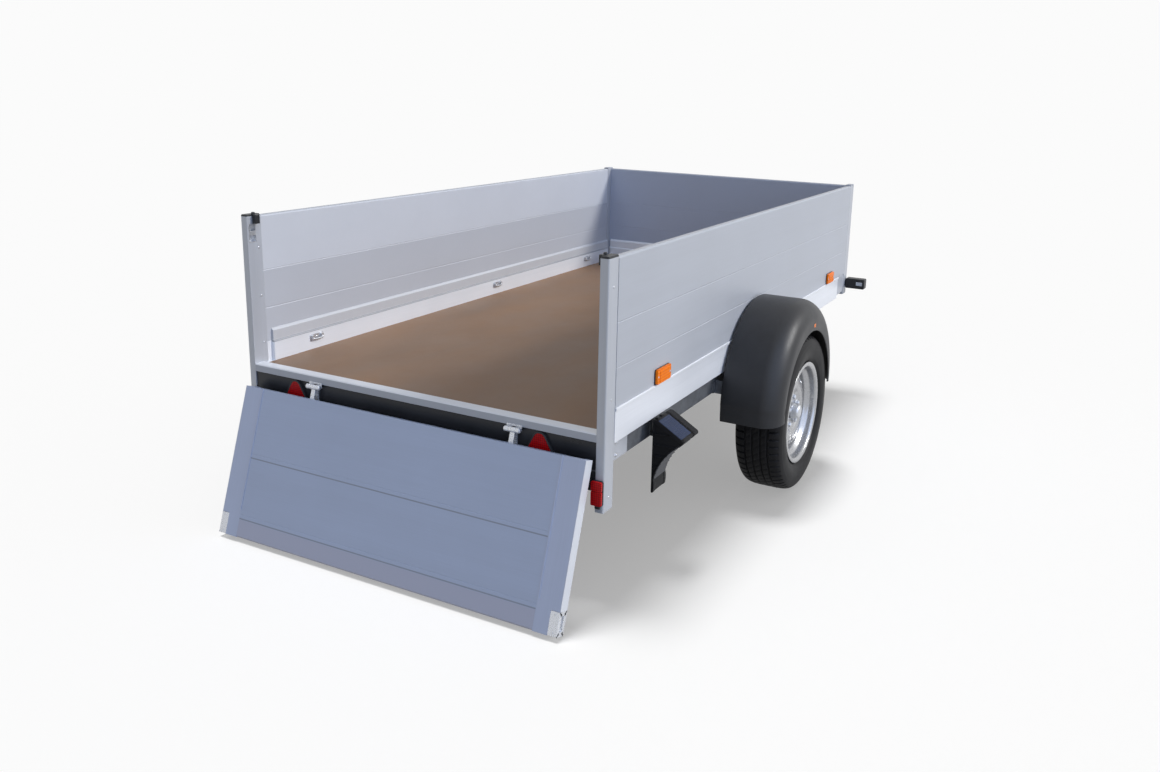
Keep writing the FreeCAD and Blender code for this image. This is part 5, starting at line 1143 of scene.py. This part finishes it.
def capShapes(x0, rear):
    # A cap of two steps; the rear one has a lug that hangs inside the post, with a pin.
    slab = panel(x0, x0 + 0.058, postInner, bodyHalf, 0.005, 4)
    shapes = [drawn(slab, "z", wallTop, wallTop + 0.0035),
              drawn(inset(slab, 0.0015), "z", wallTop + 0.003, wallTop + 0.006)]
    if rear:
        start, end, inner = rearX + 0.022, rearX + 0.040, postInner - 0.018
        shapes += [drawn(panel(start, end, inner, postInner + 0.012), "z", wallTop + 0.0005, wallTop + 0.005),
                   drawn(panel(start, end, inner, postInner - 0.0003), "z", wallTop - 0.024, wallTop + 0.002),
                   lathed([(0, 0.002), (0.006, 0.002), (0.006, 0.011), (0.0045, 0.013), (0, 0.013)],
                          (rearX + 0.028, postInner, wallTop), "z", 24, 0.001, 2)]
    return shapes


shapes, screws = bracketShapes()
makePair("hingeBrackets", shapes, "zincBright", "hinge_brackets", 0.0006)
makePair("hingeScrews", screws, "zinc")
shapes, bolts = leafShapes()
makePair("hingeLeaves", shapes, "zincBright", "hinge_leaves", 0.0006, "tailgate")
makePair("hingeBolts", bolts, "zinc", "", 0.0004, "tailgate")
shapes, screws = latchShapes()
makePair("gateLatches", shapes, "zincBright", "tailgate_latches", 0.0012, "tailgate", segments=3)
makePair("latchScrews", screws, "zinc", body="tailgate")
makePair("latchKeepers", keeperShapes(), "zinc", "latch_keepers", 0.0004)
makePair("rearPostCaps", capShapes(rearX, True), "blackPlastic", "post_caps", 0.0008)
makePair("frontPostCaps", capShapes(frontX - 0.058, False), "capGrey", "post_caps", 0.0008)


# Lashing eyes, rivets and screws

eyes = [(x, 0, 0) for x in (rearX + 0.275, rearX + 0.554 * (frontX - rearX), frontX - 0.296)]
postScrewZ, outerScrewZ, railBoltZ = (0.934, 0.772, 0.610), (0.352, 0.640, 0.960), (0.486, 0.447)


def eyeShapes():
    y, z, half = innerHalf - 0.012, floorTop + 0.043, 0.022
    plate = drawn(panel(-0.032, 0.032, z - 0.011, z + 0.011, 0.005, 4), "y", y - 0.0025, y)
    feet = [drawn(panel(side - 0.005, side + 0.005, z - 0.009, z + 0.009), "y", y - 0.010, y - 0.001)
            for side in (-half, half)]
    bow = tube([(-half, y - 0.006, z + 0.002), (-half, y - 0.0105, z - 0.006), (half, y - 0.0105, z - 0.006),
                (half, y - 0.006, z + 0.002)], 0.0032, 14, 0.006, (0, 0, 1))
    return [copies(shape, eyes) for shape in [plate] + feet + [bow, dome(0.0035, "y", -1, [(0, y - 0.0025, z)])]]


makePair("lashingEyes", eyeShapes(), "zinc", "lashing_eyes", 0.0006)
makePair("postScrews", [dome(0.0042, "y", -1, [(rearX + 0.044, postInner, z) for z in postScrewZ]),
                        dome(0.0042, "y", 1, [(rearX + 0.030, bodyHalf, z) for z in outerScrewZ])], "zinc")
gusset = panel(rearX + 0.059, rearX + 0.185, railBottom + 0.001, floorTop - 0.036, 0.004)
makePair("railGussets", [drawn(gusset, "y", innerHalf, innerHalf + 0.0022)], "postAlloy", edge=0.0008)
railBolts = [(rearX + 0.112, innerHalf + 0.002, z) for z in railBoltZ]
makePair("railBolts", hexHeads(0.0055, "y", 1, railBolts), "zinc", edge=0.0004)
print("fittings ready")


# Coupling

housingLow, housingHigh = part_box("overrun_housing")
armLow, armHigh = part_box("drawbar_arms")
headLow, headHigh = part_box("coupling_head")
gaiterLow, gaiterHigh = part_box("gaiter")
couple = {
    "half": 0.042,
    "ribs": 4,
    "folds": 7,
    "fold": (0.038, 0.030, 0.001),       # crest, valley, and how much each fold is smaller
    "neck": (0.030, 0.110),
    "dome": (0.048, 0.052, 0.016),       # radius, height and depth of the head
    "ball": 0.0255,
}
shaftZ = (gaiterLow.z + gaiterHigh.z) / 2
onShaft = (0, 0, shaftZ)
ballX = headHigh.x - couple["dome"][0]


def housingShapes():
    x0, x1, half = housingLow.x, housingHigh.x, couple["half"]
    shapes = [drawn(panel(-half, half, armLow.z, armHigh.z, 0.010, 5), "x", x0, x1 - 0.040),
              lathed([(0, x0), (half - 0.002, x0), (half - 0.002, x1 - 0.014), (0.046, x1 - 0.010), (0.046, x1),
                      (0, x1)], onShaft, "x", 64, 0.004, 4)]
    rib = soft([(-half, armLow.z + 0.012), (-half + 0.004, armHigh.z - 0.004), (-0.022, shaftZ + 0.036),
                (0.022, shaftZ + 0.036), (half - 0.004, armHigh.z - 0.004), (half, armLow.z + 0.012)], 0.003, 3)
    shapes += [drawn(rib, "x", x - 0.004, x + 0.004) for x in np.linspace(x0 + 0.035, x1 - 0.075, couple["ribs"])]
    nipple = lathed([(0, 0.036), (0.006, 0.036), (0.006, 0.041), (0.0035, 0.043), (0.0035, 0.048),
                     (0.0045, 0.050), (0.0028, 0.054), (0, 0.054)], (x1 - 0.060, 0, shaftZ), "z", 24, 0.0008)
    return shapes, [nipple]


def gaiterShapes():
    # Folds: radius = middle - amplitude * cos(2 pi * fold), both shrinking towards the head.
    x0, x1 = gaiterLow.x, gaiterHigh.x
    crest, valley, taper = couple["fold"]
    small, large = couple["neck"][0] + 0.0006, crest - 0.002
    part = np.linspace(0, couple["folds"], couple["folds"] * 14 + 1)
    radius = (crest + valley) / 2 - 0.0005 - taper * part - (crest - valley) / 2 * np.cos(2 * math.pi * part)
    radius[:5], radius[-5:] = large, small
    profile = np.stack([radius, np.linspace(x0, x1, len(part))], axis=1)
    gaiter = lathed(np.concatenate([[(0, x0)], profile, [(0, x1)]]), onShaft, "x", 64)
    return [gaiter], [rod(r + 0.001, x, x + 0.005, onShaft, "x", 48, 0.0005, 2, r - 0.001)
                      for r, x in ((large, x0 + 0.0015), (small, x1 - 0.007))]


def headShapes():
    # Neck, bridge, and a dome over the ball: the socket is a quarter circle of the ball's radius.
    x0, (neck, long), ball = headLow.x, couple["neck"], couple["ball"]
    radius, top, foot = couple["dome"]
    bridge = panel(-0.032, 0.032, shaftZ - foot, shaftZ + 0.032, [0.003, 0.003, 0.014, 0.014], 6)
    socket = arc(ball, np.linspace(math.pi / 2, 0, 12), (0, 0.004))
    outside = soft([(radius, -foot), (radius, 0.22 * top), (0.88 * radius, 0.64 * top), (0.6 * radius, 0.9 * top),
                    (0.3 * radius, top), (0, top)], [0, 0.008, 0.012, 0.012, 0.008, 0], 5, False)
    profile = np.concatenate([socket, [(ball, -foot), (radius, -foot)], outside[1:]])
    shapes = [rod(neck, x0, x0 + long, onShaft, "x", 48, 0.002),
              drawn(bridge, "x", x0 + long - 0.020, ballX), lathed(profile, (ballX, 0, shaftZ), "z", 72),
              rod(radius, -foot, -foot + 0.004, (ballX, 0, shaftZ), "z", 72, 0.001, 2, ball)]
    return shapes, hexHeads(0.0085, "y", 1, [(x0 + x, neck - 0.002, shaftZ) for x in (0.030, 0.075)])


def handleShapes():
    z = shaftZ + couple["dome"][1]
    front = np.array([ballX - 0.010, 0, z + 0.026])
    end = front + (-0.140, 0, 0.020)
    section = panel(-0.0085, 0.0085, -0.006, 0.007, 0.004, 4)
    grip = carried(section, soft([front + (0.004, 0, -0.004), front, end], 0.010, 6, False))
    ridges = copies(carried(ring(0.0088, 16), [(-0.0012, 0, 0), (0.0012, 0, 0)]),
                    [front + (end - front) * part for part in np.linspace(0.30, 0.95, 10)])
    stem = drawn(soft([(ballX - 0.009, z - 0.003), (ballX + 0.008, z - 0.003), (ballX + 0.002, z + 0.030),
                       (ballX - 0.020, z + 0.030)], 0.003, 3), "y", -0.0075, 0.0075)
    return [grip, ridges, stem]


def brakeShapes():
    x, z, y = housingLow.x + 0.120, armHigh.z - 0.020, couple["half"]
    middle = z + 0.040
    plate = soft([(x - 0.030, z), (x + 0.030, z), (x + 0.030, z + 0.030), (x + 0.015, z + 0.070),
                  (x - 0.015, z + 0.070), (x - 0.030, z + 0.030)], 0.006, 4)
    low = np.array([x, y + 0.015, middle])
    bend = low + (0.040, 0, 0.150)
    path = soft([low, bend, low + (-0.070, 0, 0.300)], [0, 0.07, 0], 14, False)
    down = bend - path[-1]
    down /= np.linalg.norm(down)
    handle = carried(ring(0.009, 24), [path[-1] + down * 0.110, path[-1] - down * 0.001])
    teeth = [drawn(np.stack([arc(0.030, a, (x, middle)), arc(0.034, a + 0.05, (x, middle)),
                             arc(0.030, a + 0.12, (x, middle))]), "y", y, y + 0.005)
             for a in np.linspace(0.2, 1.1, 7)]
    return [drawn(plate, "y", y, y + 0.006), carried(ring(0.0078, 20), path),
            rod(0.012, 0.006, 0.026, (x, y, middle), "y", 32, 0.0015)] + teeth, [handle]


shapes, nipple = housingShapes()
makePiece("overrunCasting", shapes, "galvanised", "overrun_housing", 0.0012)
makePiece("greaseNipple", nipple, "zinc")
gaiter, rings = gaiterShapes()
makePiece("shaftGaiter", gaiter, "rubber", "gaiter", sharp=60)
makePiece("gaiterBands", rings, "zinc")
shapes, bolts = headShapes()
makePiece("couplingShell", shapes, "blackPaint", "coupling_head", 0.001)
makePiece("couplingBolts", bolts, "zinc", edge=0.0005)
makePiece("couplingRelease", handleShapes(), "blackPlastic", "coupling_handle", 0.0008)
lever, handle = brakeShapes()
makePiece("brakeLever", lever, "zinc", "handbrake", 0.0006)
makePiece("brakeGrip", handle, "blackPlastic", edge=0.001)


# Jockey wheel

legLow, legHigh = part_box("jockey_leg")
rollerLow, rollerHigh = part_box("jockey_wheel")
jockey = {
    "x": (legLow.x + legHigh.x) / 2,
    "y": (legLow.y + legHigh.y) / 2,
    "tube": (0.024, 0.0205),
    "leg": 0.0202,
    "clamp": 0.040,                      # half the length of its plates
    "rise": 0.364,
    "crank": 0.100,
    "grip": 0.070,
    "wheel": (rollerHigh.z / 2, (rollerHigh.y - rollerLow.y) / 2),
    "trail": 0.042,
    "pockets": 6,
}
armEnds = (0.565, 0.067)                 # distance of a drawbar arm from the middle at its rear and front
jockeyPlace = (jockey["x"], jockey["y"], 0)
rollerPlace = np.array([jockey["x"] - jockey["trail"], jockey["y"], jockey["wheel"][0]])


def jockeyTubeShapes():
    # Tube with two collars and a crank; the grip swells in waves of a centimetre.
    (outer, bore), (x, y, _) = jockey["tube"], jockeyPlace
    foot, top = armLow.z + 0.006, armHigh.z + jockey["rise"]
    walls = spun(soft([(bore, foot), (outer, foot), (outer, top - 0.002), (0, top), (0, top - 0.008),
                       (bore, top - 0.010)], 0.0012, 3, False), jockeyPlace, "z", 56)
    collars = [rod(outer + 0.0022, z, z + 0.010, jockeyPlace, "z", 56, 0.001, 3, outer - 0.001)
               for z in (foot + 0.001, top - 0.014)]
    end = np.array([x + jockey["crank"], y, top + 0.024])
    crank = tube([(x, y, top - 0.004), (x, y, end[2]), end, end + (0, 0, 0.014)], 0.0068, 18, 0.020)
    hub = lathed([(0, top - 0.001), (0.012, top - 0.001), (0.010, top + 0.010), (0, top + 0.010)], jockeyPlace,
                 "z", 32, 0.0015)
    rise = np.linspace(0.010, jockey["grip"], 40)
    swell = 0.0100 + 0.0008 * np.cos((rise - 0.010) * 2 * math.pi / 0.010)
    grip = np.concatenate([[(0, rise[0])], np.stack([swell, rise], axis=1), [(0, rise[-1])]])
    return [walls, crank, hub] + collars, [lathed(grip, end, "z", 28)]


def clampShapes():
    # Two plates from the drawbar arm, cut round the tube, with a ring, bolts and a screw with its lever.
    low, high = armLow.z + 0.008, armHigh.z - 0.008
    (x, y, _), middle, bore = jockeyPlace, (low + high) / 2, jockey["tube"][0] + 0.0003
    outer, near = jockey["tube"][0] + 0.009, y - jockey["tube"][0] - 0.014
    half = jockey["clamp"]
    slant = half * (armEnds[1] - armEnds[0]) / (armHigh.x - armLow.x)
    notch = arc(outer - 0.006, np.linspace(math.pi, 2 * math.pi, 17), (x, y))
    start, end = x - outer + 0.006, x + outer - 0.006
    plate = np.concatenate([[(x - half, near - slant), (x - half, y + 0.004), (start, y + 0.004)], notch,
                            [(end, y + 0.004), (x + half, y + 0.004), (x + half, near + slant)]])
    plate = soft(plate, [0.001, 0.006] + [0] * 19 + [0.006, 0.001], 5)
    shapes = [rod(outer, low, high, jockeyPlace, "z", 56, 0.0025, 3, bore),
              drawn(plate, "z", low, low + 0.010), drawn(plate, "z", high - 0.010, high)]
    face = y + outer + 0.029
    screw = rod(0.0068, outer - 0.004, outer + 0.027, (x, y, middle), "y", 24)
    lever = tube([(x, face, middle + 0.010), (x, face, middle - 0.052), (x, face, middle - 0.060)],
                 0.0042, 14, 0.006, (1, 0, 0))
    return shapes, [screw, lever] + hexHeads(0.0085, "z", 1, [(x + side * 0.028, near + 0.016, high)
                                                              for side in (-1, 1)])


def legShapes():
    foot, top, bore, depth = legLow.z, legHigh.z, 0.0123, 0.056
    return [spun(soft([(bore, foot), (jockey["leg"], foot), (jockey["leg"], top), (0, top), (0, foot + depth),
                       (bore, foot + depth)], 0.0012, 3, False), jockeyPlace, "z", 48)]


def forkShapes():
    # Crown plate, two raked cheeks that narrow to the axle, and the axle with its nuts.
    (x, y, _), wheelX, (radius, half) = jockeyPlace, rollerPlace[0], jockey["wheel"]
    inner, outer = half + 0.005, half + 0.010
    crownFoot, crownTop = 2 * radius + 0.008, legLow.z - 0.0003
    crown = panel(wheelX - 0.026, x + 0.026, y - outer, y + outer, 0.014, 5)
    cheek = soft([(wheelX - 0.020, radius), (wheelX - 0.014, crownFoot + 0.006), (x + 0.014, crownFoot + 0.006),
                  (wheelX + 0.020, radius), (wheelX + 0.012, radius - 0.018), (wheelX - 0.012, radius - 0.018)],
                 [0.008, 0, 0, 0.008, 0.008, 0.008], 5)
    nut = [(0, 0), (0.0125, 0), (0.0125, 0.0028), (0.0105, 0.0038), (0, 0.0038)]
    return [drawn(crown, "z", crownTop - 0.008, crownTop), framed(crown, 0.005, "z", crownFoot, crownTop - 0.004),
            rod(0.012, crownTop - 0.002, crownTop + 0.050, jockeyPlace, "z", 32, 0.0015),
            rod(0.0075, -outer - 0.004, outer + 0.004, rollerPlace, "y", 28, 0.001),
            drawn(cheek, "y", y - outer, y - inner), drawn(cheek, "y", y + inner, y + outer),
            copies(lathed(nut, rollerPlace, "y", 6), [(0, outer, 0), (0, -outer - 0.0038, 0)])]


def rollerShapes():
    # Tread and hub, spun about the wheel's axle, with ribs between hub and tread on both faces.
    r, half = jockey["wheel"]
    tread = lathed([(0.70 * r, -half + 0.006), (0.74 * r, -half + 0.001), (0.93 * r, -half + 0.004),
                    (r, -half + 0.014), (r, half - 0.014), (0.93 * r, half - 0.004), (0.74 * r, half - 0.001),
                    (0.70 * r, half - 0.006)], rollerPlace, "y", 96, 0.006, 4, True)
    hub = lathed([(0.0083, -half), (0.26 * r, -half), (0.28 * r, -half + 0.012), (0.66 * r, -half + 0.012),
                  (0.705 * r, -half + 0.005), (0.705 * r, half - 0.005), (0.66 * r, half - 0.012),
                  (0.28 * r, half - 0.012), (0.26 * r, half), (0.0083, half)], rollerPlace, "y", 72, 0.002, 3, True)
    section = [(-0.0025, -0.0035), (0.0025, -0.0035), (0.0025, 0.0035), (-0.0025, 0.0035)]
    ribs = []
    for turn in np.arange(jockey["pockets"]) * 2 * math.pi / jockey["pockets"]:
        for side in (-1, 1):
            ends = around(rollerPlace, np.array([0.24, 0.69]) * r, turn, side * (half - 0.010))
            ribs.append(carried(section, ends))
    return [tread], [hub] + ribs


walls, grip = jockeyTubeShapes()
makePiece("jockeyOuterTube", walls, "zinc", "jockey_tube", 0.0005)
makePiece("jockeyGrip", grip, "blackPlastic", "jockey_tube", sharp=60)
clamp, screws = clampShapes()
makePiece("jockeyClampBody", clamp, "galvanised", "jockey_clamp", 0.001)
makePiece("jockeyClampScrew", screws, "zinc", "jockey_clamp", 0.0006)
makePiece("jockeyInnerTube", legShapes(), "zinc", "jockey_leg", body="jockey_leg")
makePiece("jockeyCastorFork", forkShapes(), "zinc", "jockey_fork", 0.0008, "jockey_fork")
tread, hub = rollerShapes()
makePiece("jockeyRoller", tread, "rubber", "jockey_wheel", body="jockey_wheel", sharp=60)
makePiece("jockeyRollerHub", hub, "capGrey", "jockey_wheel", 0.0008, "jockey_wheel", "rubber")
print("drawbar ready")


# Axle, swing arms and bolts underneath

beamLow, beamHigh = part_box("axle_beam")
axle = {
    "reach": 0.136,
    "rise": 0.0634,
    "big": 0.042,
    "small": 0.032,
    "thick": 0.042,
    "wall": 0.008,
    "drum": 0.1119,
    "stub": 0.017,
    "boltCircle": 0.046,
}
beamX, beamZ = (beamLow.x + beamHigh.x) / 2, (beamLow.z + beamHigh.z) / 2


def swingShapes():
    # Outline of two round ends joined by tangents: each end is an arc that starts at slope -+ (90 - spread).
    bigEnd, smallEnd = axle["big"], axle["small"]
    slope = math.atan2(axle["rise"], axle["reach"])
    quarter = math.pi / 2 - math.asin((bigEnd - smallEnd) / math.hypot(axle["rise"], axle["reach"]))
    big = np.linspace(slope - quarter, slope + quarter, 20)
    small = np.linspace(slope + quarter, slope + 2 * math.pi - quarter, 20)
    centre = (wheel["x"], 0, wheel["radius"])
    outline = np.concatenate([arc(bigEnd, big, (beamX, beamZ)), arc(smallEnd, small, centre[::2])])
    y0, y1 = beamHigh.y, beamHigh.y + axle["thick"]
    edge = axle["drum"] + 0.004
    shapes = [drawn(inset(outline, 0.004), "y", y0, y1),
              rod(axle["stub"], y1 - 0.002, wheel["track"] - 0.007, centre, "y", 40, 0.002),
              lathed([(0, y1), (0.040, y1), (0.060, y1 + 0.0015), (edge - 0.014, y1 + 0.0015), (edge, y1),
                      (edge, y1 + 0.005), (0, y1 + 0.005)], centre, "y", 72, 0.002),
              rod(bigEnd, y0, y1, (beamX, 0, beamZ), "y", 48, 0.003),
              rod(smallEnd, y0, y1, centre, "y", 48, 0.003),
              framed(outline, 0.010, "y", y0, y0 + 0.010), framed(outline, 0.010, "y", y1 - 0.010, y1)]
    places = around(centre, axle["boltCircle"], np.radians([40, 130, 220, 310]), y1)
    return shapes, hexHeads(0.006, "y", -1, places)


shapes, bolts = swingShapes()
makePair("swingArmPair", shapes, "blackPaint", "swing_arms", 0.0012)
makePair("backplateBolts", bolts, "zinc", edge=0.0004)
beam = panel(beamLow.x, beamHigh.x, beamLow.z, beamHigh.z, 0.010, 5)
makePiece("axleTube", [framed(beam, axle["wall"], "y", -beamHigh.y, beamHigh.y)], "galvanised", "axle_beam")
under = [(beamX + x, innerHalf - 0.065 + y, railBottom - 0.008) for x in (-0.062, 0.062) for y in (0.014, 0.036)]
makePair("saddleBolts", hexHeads(0.0075, "z", -1, under), "zinc", edge=0.0004)
print("chassis ready")

bpy.context.scene.view_settings.view_transform = "Standard"
